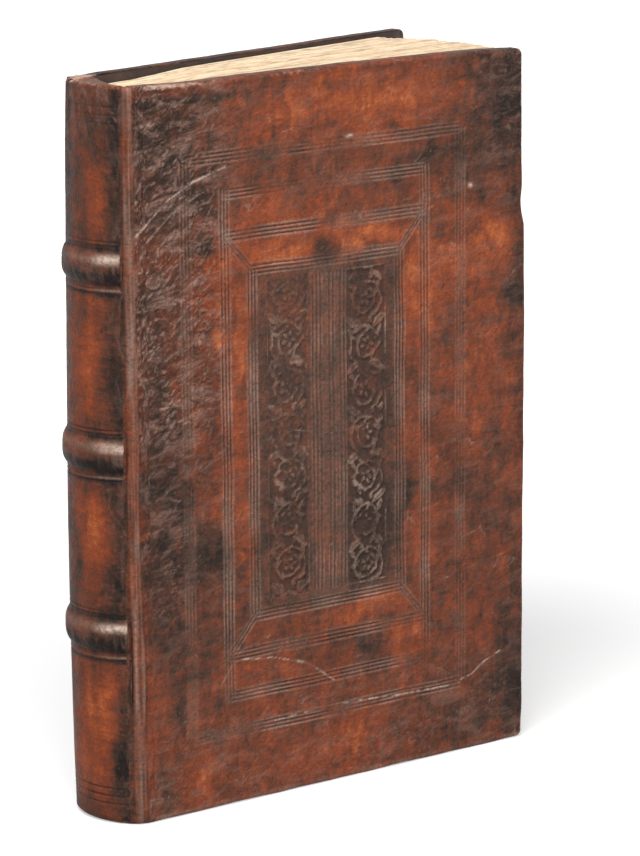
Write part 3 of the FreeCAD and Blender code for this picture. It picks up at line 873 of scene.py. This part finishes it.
def cover_skin(side):
    """The leather over a cover: its tooled face, rounded edges and walls; the front one in three lengths."""
    with_rolls = side == FRONT
    x, z, depth, reach, outward_x, outward_z, on_face = cover_grid(with_rolls)
    row_count, column_count = x.shape
    groove, ridge, ground = (layer * on_face for layer in tooling(x, z, with_rolls))
    lumps = 0.2 * rough_noise(x, z, 34, 3) + 0.07 * noise(x, z, 5, 13)
    lacing = sum(soft_spot(x, z, 8, height, 8, 5) for height in band_heights)
    away = ease(hinge_reach, hinge_reach + 4, x)
    tone, rub, pale, wrinkle = (front_colours if side == FRONT else rear_colours)(x, z)
    relief, dark, lit, change = grain(x, z, wrinkle, 201 + side)
    depth = depth + line_depth * groove - 0.15 * ridge + roll_depth * ground
    inwards = ease(4.0, 1.5, reach)
    depth = depth - on_face * away * (lumps + 0.2 * lacing) - (0.3 + 0.7 * away) * relief * inwards
    depth = depth + 0.7 * ease(hinge_reach, hinge_reach - 2.0, x) * inwards
    x, z = worn(side, x, z)
    nicks = 0.3 * ease(1.2, 3.0, reach) * rough_noise(x + side * 40, z, 12, 19)
    x = x - nicks * outward_x
    z = z - nicks * outward_z
    points = on_cover(side, x, depth, z)
    rub = np.maximum(rub, cover_rub(side, x, z, reach))
    # Painted highlights, with rubbing, on the ridges beside the tooled lines and on the rolls' standing parts,
    # then on the folds' tops.
    pale = np.maximum(pale, 0.58 * ridge * (0.8 + 0.4 * noise(x, z, 11, 131)))
    pale = np.maximum(pale, lit * (1 - 0.6 * ground))
    if side == FRONT:
        pale = np.maximum(pale, 0.4 * ease(3.6, 1.4, z) * (0.7 + 0.5 * noise(x, z, 5, 88)))
    # Painted shade in the tooled grooves, the rolls' sunk ground and the creases.
    shade_and_dark_marks = np.clip(np.maximum(1.1 * groove, np.maximum(0.68 * ground, 0.6 * dark)), 0, 1)
    tone = tone + change - 0.14 * ease(1.5, 4.5, reach)
    place = np.stack([x, depth, z + side * 400], axis=-1) * MM
    layers = dict(zip(LEATHER_LAYERS, (place, tone, shade_and_dark_marks, rub, pale, wrinkle)))
    name = SIDE_NAMES[side] + "_cover_leather"
    if side == REAR:
        return [make_mesh(name, points, grid_faces(row_count, column_count, flip=True), layers)]
    pieces = []
    ends = [0, row_count // 3, row_count * 2 // 3, row_count - 1]
    for length, first, last in zip(("_tail", "_middle", "_head"), ends[:-1], ends[1:]):
        rows_here = slice(first, last + 1)
        faces = grid_faces(last + 1 - first, column_count)
        layers_here = {key: values[rows_here] for key, values in layers.items()}
        pieces.append(make_mesh(name + length, points[rows_here], faces, layers_here))
    return pieces


def turn_ins(side):
    """The leather turned in round three edges of a cover's inner face."""
    insets = [0.5, 3.0, 8.0, 13.0, turn_in_width, turn_in_width]
    depths = [cover_thickness] * 5 + [board_face]
    loops = []
    for inset, depth in zip(insets, depths):
        radius = max(corner_radius - inset, 0.05)
        right = cover_width - inset
        corner = np.linspace(0, math.pi / 2, 7)
        tail = [(x, inset) for x in np.linspace(0.4, right - radius, 40)]
        low = [(right - radius + radius * math.sin(t), inset + radius * (1 - math.cos(t))) for t in corner]
        up = [(right, z) for z in np.linspace(inset + radius, cover_height - inset - radius, 60)]
        high = [(right - radius + radius * math.cos(t), cover_height - inset - radius + radius * math.sin(t))
                for t in corner]
        head = [(x, cover_height - inset) for x in np.linspace(right - radius, 0.4, 40)]
        loops.append([(x, depth, z) for x, z in tail + low + up + high + head])
    flat = np.array(loops)
    ragged = (flat[..., 1] < cover_thickness + 1) & (np.arange(len(insets))[:, None] >= 4)
    flat[..., 0] += np.where(ragged, 0.8 * noise(flat[..., 0], flat[..., 2], 14, 61), 0)
    x, z = worn(side, flat[..., 0], flat[..., 2])
    points = on_cover(side, x, flat[..., 1], z)
    place = flat * MM
    return make_mesh(SIDE_NAMES[side] + "_turn_ins", points,
                     grid_faces(flat.shape[0], flat.shape[1], flip=side == FRONT), {"place": place})


# Spine

def spine_round(z):
    """Centre, radius and half angle of the spine's round at a height."""
    share = z / cover_height
    sagitta = through_three(tail_bulge, middle_bulge, head_bulge, share)
    radius = (half_joint ** 2 + sagitta ** 2) / (2 * sagitta)
    centre = radius - sagitta
    return centre, radius, np.arccos(centre / radius)


def spine_point(from_joint, side, z, offset):
    """A point of the spine's leather, at an arc length from one joint and a height over its round."""
    centre, radius, half_angle = spine_round(z)
    angle = side * (half_angle - from_joint / radius)
    x = joint_x + centre - (radius + offset) * np.cos(angle)
    y = (radius + offset) * np.sin(angle)
    return np.stack(np.broadcast_arrays(x, y, z), axis=-1)


def spine_rows():
    """Heights of the spine's grid, closer on the bands and the tooled lines."""
    places = list(np.arange(1.6, cover_height - 1.6, 0.8)) + [cover_height - 1.6]
    for middle in band_heights:
        places = [p for p in places if abs(p - middle) > band_half_width + 4]
        places += list(np.arange(middle - band_half_width - 4, middle + band_half_width + 4.01, 0.35))
    for middle in spine_lines():
        places = [p for p in places if not 0.01 < abs(p - middle) < 1.3]
        places += list(middle + np.linspace(-1.2, 1.2, 9))
    return thinned(places, 0.1)


def spine_lines():
    """Heights of the lines tooled across the spine."""
    ends = [8.0, 11.0, 14.0]
    beside = [middle + distance for middle in band_heights for distance in (-8.0, -9.6, 8.0, 9.6)]
    return ends + [cover_height - end for end in ends] + beside


def band_swell(z):
    """Height of the raised bands over the spine, as a share."""
    swell = np.zeros_like(z)
    for middle in band_heights:
        share = np.clip(np.abs(z - middle) / band_half_width, 0, 1)
        swell = np.maximum(swell, 1 - share ** 3.2)
    return swell


def band_end(from_joint):
    """The bands' height near a joint, as a share: they drop where the ridge of the joint begins."""
    return ease(4.4, 5.8, from_joint)


def spine_relief(from_front, z, width):
    """Height, tone, tooled lines with painted shade, rubbing, pale marks with painted highlights on the bands, and
    wrinkling of the spine's leather at each point.
    """
    near_joint = np.minimum(from_front, width - from_front)
    swell = band_swell(z) * band_end(near_joint)
    dents = rough_noise(from_front, z, 16, 51)
    wrinkle = 0.4 * ease(cover_height - 24, cover_height - 10, z) + 0.25 * ease(12, 4, near_joint)
    wrinkle = wrinkle + 0.3 * ease(0.3, 1.0, band_swell(z))
    relief, dark, pale, change = grain(z, from_front, wrinkle, 301)
    height = band_height * swell * (1 + 0.08 * dents) + 0.14 * dents + 0.5 * relief
    height = height - 0.8 * ease(spine_reach - 0.2, spine_reach - 2.2, near_joint)
    shade_and_dark_marks = np.zeros_like(z)
    # Tooled lines across the spine: sunk a little and darkened as painted shade.
    for middle in spine_lines():
        line = bump_curve(z - middle - 0.25 * noise(from_front, z, 18, 53), 0.6)
        shade_and_dark_marks = np.maximum(shade_and_dark_marks, line * (0.6 + 0.4 * noise(from_front, z, 12, 54)))
    shade_and_dark_marks = np.clip(shade_and_dark_marks, 0, 1) * ease(0.5, 3.0, near_joint)
    height = height - 0.35 * shade_and_dark_marks
    tone = 0.4 + 0.14 * rough_noise(from_front, z, 24, 57) + 0.7 * change
    tone = tone + 0.14 * noise(from_front, z / 5, 4, 58)
    tone = tone - 0.22 * ease(13, 7, near_joint) - 0.1 * ease(26, 36, from_front)
    # Painted shade: darker under each band's middle, and in thin lines above and below the band.
    for middle in band_heights:
        band_shade = bump_curve(z - (middle - 3.6), 4.6) + 0.5 * bump_curve(z - (middle + 7.2), 2.2)
        band_shade = np.maximum(band_shade, 0.7 * bump_curve(z - (middle - 9.8), 1.6))
        tone = tone - 0.45 * band_shade
    tone = tone - 0.06 * ease(cover_height - 24, cover_height - 8, z)
    tone = tone - 0.1 * ease(16, 4, z) + 0.1 * ease(70, 40, z)
    for spot in spine_spots:
        tone = tone + spot[4] * soft_spot(from_front, z, *spot[:4])
    # Painted highlights on each band's top half, strongest near the front joint, and in a thin line below the
    # band.
    from_bands = z[..., None] - np.array(band_heights)
    band_highlight = bump_curve(from_bands - 3.2, 3.2) + 0.5 * bump_curve(from_bands + 8.2, 0.9)
    band_highlight = band_highlight.max(axis=-1) * ease(4, 6, near_joint)
    strong = 0.35 + 0.85 * ease(20, 11, from_front)
    pale = np.maximum(0.4 * pale, band_highlight * strong * (0.75 + 0.35 * noise(from_front, z * 3, 6, 59)))
    rub = 0.5 * ease(2.2, 0.2, np.minimum(z, cover_height - z))
    # Painted shade in the creases of the wrinkled leather.
    shade_and_dark_marks = np.maximum(shade_and_dark_marks, 0.4 * dark)
    return height, tone, shade_and_dark_marks, rub, pale, wrinkle


def spine_leather():
    """The leather over the spine, tucked under the joints, with the caps at head and tail."""
    rows = spine_rows()
    across = np.linspace(0, 1, 85)
    share, z = np.meshgrid(across, rows)
    _, radius, half_angle = spine_round(z)
    whole = 2 * half_angle * radius
    from_front = board_setback + share * (whole - 2 * board_setback)
    height, *values = spine_relief(from_front, z, whole)
    points = spine_point(from_front, FRONT, z, height)
    place = np.stack([z, height, from_front + 700], axis=-1) * MM
    layers = dict(zip(LEATHER_LAYERS, [place] + values))
    tail_points, tail_layers = spine_cap(0, across, points[0])
    head_points, head_layers = spine_cap(1, across, points[-1])
    points = np.concatenate([tail_points, points, head_points])
    layers = {key: np.concatenate([tail_layers[key], layers[key], head_layers[key]]) for key in layers}
    faces = grid_faces(points.shape[0], points.shape[1], flip=True)
    return make_mesh("spine_leather_skin", points, faces, layers)


def spine_cap(end, across, edge):
    """The leather folded over an endband: from the spine's edge over the top and down to the leaves."""
    sign = 1 if end else -1
    half_width = half_joint - (cover_thickness + paper_thickness + leaf_gap) / math.cos(half_fan) - 0.5
    inner_y = (2 * across - 1) * half_width
    inner_x = joint_x + 0.2 + (cap_reach - 0.3) * ease(-12, 4, inner_y) + 4.0 * ease(2, 12, inner_y)
    inner_x = inner_x + 0.3 * noise(across * 30, np.zeros_like(across), 5, 67)
    steps = np.array([0.04, 0.09, 0.15, 0.22, 0.32, 0.42, 0.52, 0.64, 0.76, 0.86, 0.93, 0.97, 1.0])
    rise = np.array([0.7, 1.15, 1.45, 1.55, 1.5, 1.4, 1.35, 1.35, 1.45, 1.45, 1.2, 0.5, -1.2])
    rows, tones, rubs, darks, places = [], [], [], [], []
    for step, lift in zip(steps, rise):
        x = edge[:, 0] + (inner_x - edge[:, 0]) * step
        y = edge[:, 1] + (inner_y - edge[:, 1]) * step
        wave = 0.16 * noise(y, x, 4, 71 + end) * ease(0, 0.3, step)
        z = np.clip(edge[:, 2] + sign * (lift + wave), 0.0, cover_height)
        rows.append(np.stack([x, y, z], axis=-1))
        tones.append(0.4 + 0.12 * noise(y, x, 5, 73) + 0.14 * noise(y, x, 2, 74))
        rear_corner = ease(8, 16, y)
        rubs.append(np.clip(0.45 * bump_curve(step - 0.15, 0.3) + 0.95 * rear_corner, 0, 1.2) + 0 * x)
        # Painted shade where the cap turns down to the leaves, with random dark patches.
        darks.append(0.5 * ease(0.94, 1.0, step) + 0.3 * ease(0.2, 0.6, noise(y, x, 3, 75)))
        places.append(np.stack([z + sign * 10 * step, lift + 0 * across, 700 + across * 45], axis=-1) * MM)
    order = slice(None) if end else slice(None, None, -1)
    zeros = np.zeros((len(steps), len(across)))
    values = [np.array(layer)[order] for layer in (places, tones, darks, rubs)] + [zeros, zeros + 0.6]
    return np.array(rows)[order], dict(zip(LEATHER_LAYERS, values))


# The leather joints

def joint_base(side, step, height):
    """The leather over a joint before its relief, rounded over the corner, and which way is out of it."""
    zero = np.zeros_like(step)
    on_spine = spine_point(np.abs(step), side, height, zero)
    on_board = on_cover(side, np.abs(step), zero, height)
    flat = np.where((step < 0)[..., None], on_spine, on_board)
    round_from = 3.0 if side == FRONT else 4.2
    start = spine_point(round_from + zero, side, height, zero)
    stop = on_cover(side, round_from + zero, zero, height)
    corner = on_cover(side, zero, zero, height)
    share = np.clip((step + round_from) / (2 * round_from), 0, 1)[..., None]
    bent = drawn_to(start, 0.75 * corner + 0.125 * (start + stop), stop, share)
    near = ease(round_from + 0.4, round_from - 0.6, np.abs(step))[..., None]
    points = flat * (1 - near) + bent * near
    outward = corner - 0.5 * (start + stop)
    return points, outward / np.linalg.norm(outward, axis=-1, keepdims=True)


def joint_strip(side):
    """The leather over one joint: rounded, with a rubbed ridge on the spine's side of the corner."""
    near_end = np.array([0.0, 0.2, 0.5, 0.9, 1.4])
    z = np.concatenate([near_end, np.arange(2.0, cover_height - 1.9, 0.8), cover_height - near_end[::-1]])
    steps = np.linspace(-spine_reach - 0.4, hinge_reach + 0.4, 51)
    step, height = np.meshgrid(steps, z)
    zero = np.zeros_like(step)
    points, outward = joint_base(side, step, height)
    from_end = np.minimum(height, cover_height - height)
    ridge_place = -2.2 + 0.9 * ease(120, 50, height) + 0.35 * noise(height, zero, 22, 81 + side)
    ridge_half = 2.2 + 0.2 * ease(120, 50, height)
    across = (step - ridge_place) / ridge_half
    ends = ease(0.0, 2.5, from_end)
    bead = 0.4 * bump_curve(across, 1.3) * (1 if side == FRONT else ease(0, 30, cover_height - height))
    fine = noise(step, height / 26, 0.6, 84 + side)
    grooves = 0.45 * bump_curve(across + 1.15, 0.3) + 0.25 * bump_curve(across + 0.35, 0.2)
    grooves = grooves + 0.25 * bump_curve(across - 0.4, 0.2) + 0.3 * bump_curve(across - 1.1, 0.25)
    grooves = grooves * (0.6 + 0.4 * noise(step, height, 15, 83))
    swell = band_height * band_swell(height) * band_end(-step)
    lift = (bead + swell - grooves + 0.1 * fine) * ends
    lift = lift - 0.2 * ease(-0.3, 0.3, np.maximum(step - hinge_reach, -step - spine_reach))
    rounded = np.clip(edge_rounding - from_end, 0, None)
    lift = lift - (edge_rounding - np.sqrt(edge_rounding ** 2 - rounded ** 2))
    crack = bare = zero
    if side == FRONT:
        crack = ease(46, 50, height) * ease(80, 74, height) * bump_curve(step + 4.4, 0.7)
        bare = ease(36, 48, height) * ease(96, 80, height) * bump_curve(step + 2.6, 1.4)
    points = points + outward * (lift - 1.3 * crack)[..., None]
    colours = front_colours if side == FRONT else rear_colours
    board_tone, _, board_pale, board_wrinkle = colours(np.abs(step), height)
    towards_board = ease(ridge_place + 0.6 * ridge_half, ridge_place + 1.4 * ridge_half, step)
    wrinkle = 0.3 + (board_wrinkle - 0.3) * towards_board
    relief, dark, lit, change = grain(step + 3, height, wrinkle, 201 + side)
    points = points + outward * (relief * 0.6 * ends)[..., None]
    tone = 0.42 + 0.12 * rough_noise(height, step, 24, 85)
    tone = tone + (board_tone - tone) * towards_board - 0.2 * ease(-1.0, -1.5, across) + 0.8 * change
    on_ridge = ease(1.1, 0.7, np.abs(across))
    on_ridge = on_ridge * (0.22 + 0.14 * noise(height, zero, 18, 87) + 0.2 * fine)
    # Painted highlights on the folds towards the board, with the rubbed ridge and the worn bare patch.
    pale = np.maximum(np.maximum(lit, board_pale) * towards_board, np.maximum(on_ridge, 0.5 * bare))
    # Painted shade in the grooves beside the ridge, in the creases towards the board and inside the crack.
    shade_and_dark_marks = np.clip(np.maximum(1.6 * grooves, 0.6 * dark * towards_board) + 1.6 * crack, 0, 1.6)
    place = np.stack([height + (400 if side == REAR else 0), zero, step + 900], axis=-1) * MM
    layers = dict(zip(LEATHER_LAYERS, (place, tone, shade_and_dark_marks, zero, pale, wrinkle)))
    faces = grid_faces(len(z), len(steps), flip=side == REAR)
    piece = make_mesh(SIDE_NAMES[side] + "_joint_leather", points, faces, layers)
    thick = piece.modifiers.new("thickness", "SOLIDIFY")
    thick.thickness = joint_leather_thickness * MM
    thick.offset = -1.0
    return piece


def bend_over_joint(piece, side):
    """Works out where a bend over the joint would start and end, and bakes the piece's placement into its mesh."""
    start = spine_point(joint_middle, side, cover_height / 2, 0.0) * MM
    end = on_cover(side, joint_middle, 0.0, cover_height / 2) * MM
    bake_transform(piece)


# Leaves

def leaf_half_thickness(x):
    """Half of the leaves' thickness at a distance from the joints."""
    inner_face = cover_thickness + paper_thickness + leaf_gap
    return half_joint - inner_face / math.cos(half_fan) + x * math.tan(half_fan)


def fore_edge_curve(share):
    """Where the leaves end: a curve from the front leaf (0) to the rear leaf (1)."""
    fore_edge = cover_width * math.cos(half_fan)
    front, middle, rear = (fore_edge - gap for gap in fore_edge_squares)
    return through_three(front, middle, rear, share)


def leaf_stack():
    """The fanned leaves, each a thin closed sheet with its own thickness, height and shade."""
    rng = np.random.default_rng(11)
    along = np.concatenate([[0.0, 0.03], np.linspace(0.1, 0.94, 12), [0.975, 0.992, 1.0]])
    up = np.concatenate([[0.0, 0.01], np.linspace(0.08, 0.92, 7), [0.99, 1.0]])
    q, h = np.meshgrid(along, up)
    weights = []
    for leaf in range(leaf_count):
        cluster = 0.34 * noise(np.full_like(q, leaf * 1.0) + 3 * q, h * 4, 5.5, 91)
        single = 0.5 * rng.uniform(-1, 1) * q
        weights.append(np.clip(1 + (cluster + single) * ease(0.05, 0.6, q), 0.35, None))
    weights = np.array(weights)
    edges = np.concatenate([np.zeros((1,) + q.shape), np.cumsum(weights, axis=0)])
    edges = edges / edges[-1]
    points, faces, shades, edge_layer = [], [], [], []
    rows, columns = q.shape
    for leaf in range(leaf_count):
        middle = (edges[leaf] + edges[leaf + 1]) / 2
        fill = rng.uniform(0.8, 0.97) if leaf % 8 else rng.uniform(0.55, 0.75)
        fill = 1 - (1 - fill) * ease(0.0, 0.5, q)
        reach = fore_edge_curve(middle[:, -1:]) + rng.normal(0, 0.28)
        head = leaf_head + rng.normal(-0.1, 0.16) - (0.35 if leaf % 8 == 0 else 0.0)
        tail = leaf_tail + abs(rng.normal(0.0, 0.12))
        corner = ease(0.97, 1.0, q) * rng.uniform(0.3, 1.4)
        centre, radius, _ = spine_round(leaf_tail + (leaf_head - leaf_tail) * h)
        fold_y = (2 * middle - 1) * leaf_half_thickness(0.0)
        fold_x = centre - np.sqrt((radius + leaves_outside - 0.6) ** 2 - fold_y ** 2)
        x = fold_x + (reach - fold_x) * q
        rise = leaf_rise * ease(50, 180, x) - 1.4 * ease(4, 14, x) * ease(62, 28, x)
        z = tail + corner + (head + rise - tail - 2 * corner) * h
        z = z + 0.25 * noise(x, np.full_like(x, leaf * 0.7), 30, 95) * ease(0.5, 1.0, h)
        half = leaf_half_thickness(np.clip(x, 0, None))
        sheets = []
        for face_side in (-1, 1):
            share = middle + face_side * fill * (edges[leaf + 1] - edges[leaf]) / 2
            sheets.append(np.stack([x + joint_x, (2 * share - 1) * half, z], axis=-1))
        first = len(points) * 2 * rows * columns
        points.append(np.array(sheets))
        faces.append(grid_faces(rows, columns, first))
        faces.append(grid_faces(rows, columns, first + rows * columns, flip=True))
        rim = leaf_rim(rows, columns)
        following = np.roll(rim, -1)
        back = rows * columns
        corners = [first + following, first + rim, first + back + rim, first + back + following]
        faces.append(np.stack(corners, axis=-1))
        shade = np.clip(rng.normal(0.6, 0.2) - (0.25 if leaf % 8 == 0 else 0), 0, 1)
        shades.append(np.full((2,) + q.shape, shade))
        margin = np.maximum(ease(0.95, 1.0, q), np.maximum(ease(0.98, 1.0, h), ease(0.02, 0.0, h)))
        edge_layer.append(np.array([margin, margin]))
    return make_mesh("leaves", np.array(points), np.concatenate(faces),
                     {"shade": np.array(shades), "edge": np.array(edge_layer)}, smooth=False)


def leaf_rim(rows, columns):
    """Vertex numbers round the rim of a grid, once round."""
    bottom = np.arange(columns)
    right = np.arange(1, rows) * columns + columns - 1
    top = (rows - 1) * columns + np.arange(columns - 2, -1, -1)
    left = np.arange(rows - 2, 0, -1) * columns
    return np.concatenate([bottom, right, top, left])


# Lacing cords across the joints and endbands

def tube(points, radius, sides):
    """Vertices and faces of a round tube along a path."""
    path = np.asarray(points, float)
    ahead = np.gradient(path, axis=0)
    ahead = ahead / np.linalg.norm(ahead, axis=1, keepdims=True)
    helper = np.array([0.0, 0.0, 1.0]) if abs(ahead[0][2]) < 0.9 else np.array([1.0, 0.0, 0.0])
    first = np.cross(ahead, helper)
    first = first / np.linalg.norm(first, axis=1, keepdims=True)
    second = np.cross(ahead, first)
    turn = np.linspace(0, 2 * math.pi, sides, endpoint=False)[None, :, None]
    ring = np.cos(turn) * first[:, None, :] + np.sin(turn) * second[:, None, :]
    ring = path[:, None, :] + radius * ring
    faces = [list(face) for face in grid_faces(len(path), sides, closed=True)]
    faces.append(list(range(sides))[::-1])
    faces.append([(len(path) - 1) * sides + index for index in range(sides)])
    return ring.reshape(-1, 3), faces


def joined_tubes(name, paths, radius, sides=10):
    """One mesh of several tubes."""
    all_points, all_faces, count = [], [], 0
    for path in paths:
        points, faces = tube(path, radius, sides)
        all_points.append(points)
        all_faces += [[index + count for index in face] for face in faces]
        count += len(points)
    return make_mesh(name, np.concatenate(all_points), all_faces)


def lacing_cords(side):
    """The short stretches of the double cords between the folds and the board's channels."""
    paths = []
    for middle in cord_heights:
        for twin in (-1, 1):
            z = middle + twin * half_cord_spacing
            centre, radius, _ = spine_round(middle)
            bend = radius - 1.8
            end_y = half_joint - 4.0
            start = np.array([joint_x + centre - math.sqrt(bend ** 2 - end_y ** 2), side * end_y, z])
            inward = np.array([math.sqrt(1 - (end_y / bend) ** 2), 0, 0])
            stop = on_cover(side, 1.6, 2.4, z)
            control = (start + stop) / 2 - 0.4 * inward + np.array([0, side * 0.35, 0])
            share = np.linspace(0, 1, 9)[:, None]
            paths.append(drawn_to(start, control, stop, share))
    return joined_tubes(SIDE_NAMES[side] + "_lacing_cords", paths, cord_radius)


def endband_wraps(end):
    """The thread wound round an endband's core, turn beside turn."""
    low, high = (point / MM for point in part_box("endband_core_" + end))
    middle_z = (low.z + high.z) / 2
    z_spine = leaf_head if end == "head" else leaf_tail
    centre, radius, _ = spine_round(z_spine)
    bend = radius + leaves_outside - 1.6
    half_length = (high.y - low.y) / 2 - 0.6
    count = thread_turns * 10
    angle = np.arcsin(np.linspace(-1, 1, count) * half_length / bend)
    wind = np.linspace(0, thread_turns * 2 * math.pi, count)
    out = core_radius + thread_lift
    radial = bend + out * np.cos(wind)
    x = joint_x + centre - radial * np.cos(angle)
    path = np.stack([x, radial * np.sin(angle), middle_z + out * np.sin(wind)], axis=-1)
    return joined_tubes("endband_wraps_" + end, [path], thread_radius, sides=6)


# Building

leather = leather_material()
shaded_turned_leather = shaded_leather_back_material()
leaf_paper = leaf_material()
pasted_paper = paper_material("pastedown_paper", srgb(226, 200, 152), srgb(196, 164, 112), 0.5)
lining_paper = paper_material("lining_paper", srgb(200, 176, 134), srgb(170, 140, 96), 0.3)
board_wood = wood_material("board_wood", srgb(150, 104, 66), srgb(98, 62, 38))
peg_wood = wood_material("peg_wood", srgb(172, 130, 86), srgb(128, 90, 56))
cord_fibre = fibre_material("cord_fibre", srgb(206, 186, 146), srgb(150, 126, 88), 900)
thread_fibre = fibre_material("thread_fibre", srgb(214, 190, 140), srgb(150, 118, 70), 1500)

for side in (FRONT, REAR):
    name = SIDE_NAMES[side]
    body = name + "_cover"
    for skin in cover_skin(side):
        finish_piece(skin, leather, "leather", name + "_leather")
        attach(skin, body)
    inner = turn_ins(side)
    finish_piece(inner, shaded_turned_leather, "leather")
    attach(inner, body)
    strip = joint_strip(side)
    finish_piece(strip, leather, "leather")
    bend_over_joint(strip, side)
    cords = lacing_cords(side)
    finish_piece(cords, cord_fibre, "cord")
    bend_over_joint(cords, side)

spine = spine_leather()
finish_piece(spine, leather, "leather", "spine_leather")
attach(spine, "book_block")

leaves = leaf_stack()
finish_piece(leaves, leaf_paper, "leaves", "text_block")
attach(leaves, "book_block")

for end in ("head", "tail"):
    wraps = endband_wraps(end)
    finish_piece(wraps, thread_fibre, "thread", "endband_thread_" + end)
    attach(wraps, "book_block")

slot_materials = {
    "pastedown_paper": pasted_paper, "lining_paper": lining_paper, "board_wood": board_wood,
    "peg_wood": peg_wood, "cord": cord_fibre, "thread": thread_fibre, "leaves": leaf_paper,
    "leather": leather,
}
for subpart in frame["record"]["subparts"]:
    node = frame["nodes"][subpart["node"]]
    node.data.materials.clear()
    node.data.materials.append(slot_materials[subpart["material_slot"]])


# Floor, light and camera

def seen_directly(n):
    """1 for what the camera sees, also in a reflection or through glass, and 0 for light on the book."""
    rays = n.add("LightPath").outputs
    found = rays["Is Camera Ray"]
    for ray in ("Is Glossy Ray", "Is Transmission Ray"):
        found = n.math("MAXIMUM", found, rays[ray])
    return found


def stage_material():
    """A ground that looks white where it is lit, and grey where the book shades it."""
    n = Nodes(bpy.data.materials.new("white_ground"))
    for key, value in (("Base Color", (0.5, 0.5, 0.5, 1)), ("Roughness", 0.9), ("Specular IOR Level", 0.0),
                       ("Emission Color", (1, 1, 1, 1))):
        n.shader.inputs[key].default_value = value
    distance = n.add("VectorMath", {0: n.place()}, operation="LENGTH").outputs["Value"]
    near, far = 0.22, 0.6
    level = n.span(distance, near, far, 0.5, 1.0)
    n.put(n.shader.inputs["Emission Strength"], n.times(seen_directly(n), level))
    return n.owner


def add_stage():
    """The floor, one large sheet under the book."""
    half = 4000.0
    corners = [(-half, -half, 0), (half, -half, 0), (half, half, 0), (-half, half, 0)]
    floor = make_mesh("floor", corners, [(0, 1, 2, 3)], smooth=False)
    floor.data.materials.append(stage_material())


def direction(azimuth, elevation):
    """From the book to a lamp or the camera; the angles are in degrees, from straight in front and level."""
    (across, ahead), (level, up) = cos_sin(azimuth), cos_sin(elevation)
    return Vector((ahead * level, -across * level, up))


def add_lamp(name, azimuth, elevation, distance, size, power):
    """A square lamp that looks at the middle of the book; distance and size are in metres."""
    lamp = bpy.data.lights.new(name, "AREA")
    lamp.size = size
    lamp.energy = power
    piece = bpy.data.objects.new(name, lamp)
    bpy.context.scene.collection.objects.link(piece)
    back = direction(azimuth, elevation)
    piece.location = Vector((0, 0, cover_height / 2 * MM)) + back * distance
    piece.rotation_mode = "QUATERNION"
    piece.rotation_quaternion = (-back).to_track_quat("-Z", "Y")


def add_world():
    """Even light all round, seen as white by the camera and in reflections."""
    world = bpy.data.worlds.new("studio")
    bpy.context.scene.world = world
    n = Nodes(world)
    n.shader.inputs["Color"].default_value = (1, 1, 1, 1)
    ambient = 0.3
    n.put(n.shader.inputs["Strength"], n.math("MAXIMUM", seen_directly(n), ambient))


def add_camera():
    """The camera of the photograph: low, to the left of the front cover and some way off."""
    azimuth, elevation, roll = -41.28, 13.24, -0.45
    distance = 1493.4
    target = Vector((joint_x + 82.04, -28.25, 142.0))
    back = direction(azimuth, elevation)
    level = Vector((*cos_sin(azimuth), 0))
    upright = back.cross(level)
    c, s = cos_sin(roll)
    right = c * level + s * upright
    up = -s * level + c * upright
    camera = bpy.data.cameras.new("camera")
    camera.sensor_width = 36.0
    camera.lens = 164.86
    camera.clip_end = 100.0
    piece = bpy.data.objects.new("camera", camera)
    bpy.context.scene.collection.objects.link(piece)
    turn = Matrix((right, up, back)).transposed().to_4x4()
    piece.matrix_world = Matrix.Translation((target + back * distance) * MM) @ turn
    bpy.context.scene.camera = piece


add_stage()
add_world()
add_camera()
add_lamp("key", azimuth=-55, elevation=57, distance=1.6, size=0.7, power=30)
add_lamp("fill", azimuth=5, elevation=26, distance=1.8, size=1.4, power=13)
bpy.context.scene.view_settings.view_transform = "Standard"
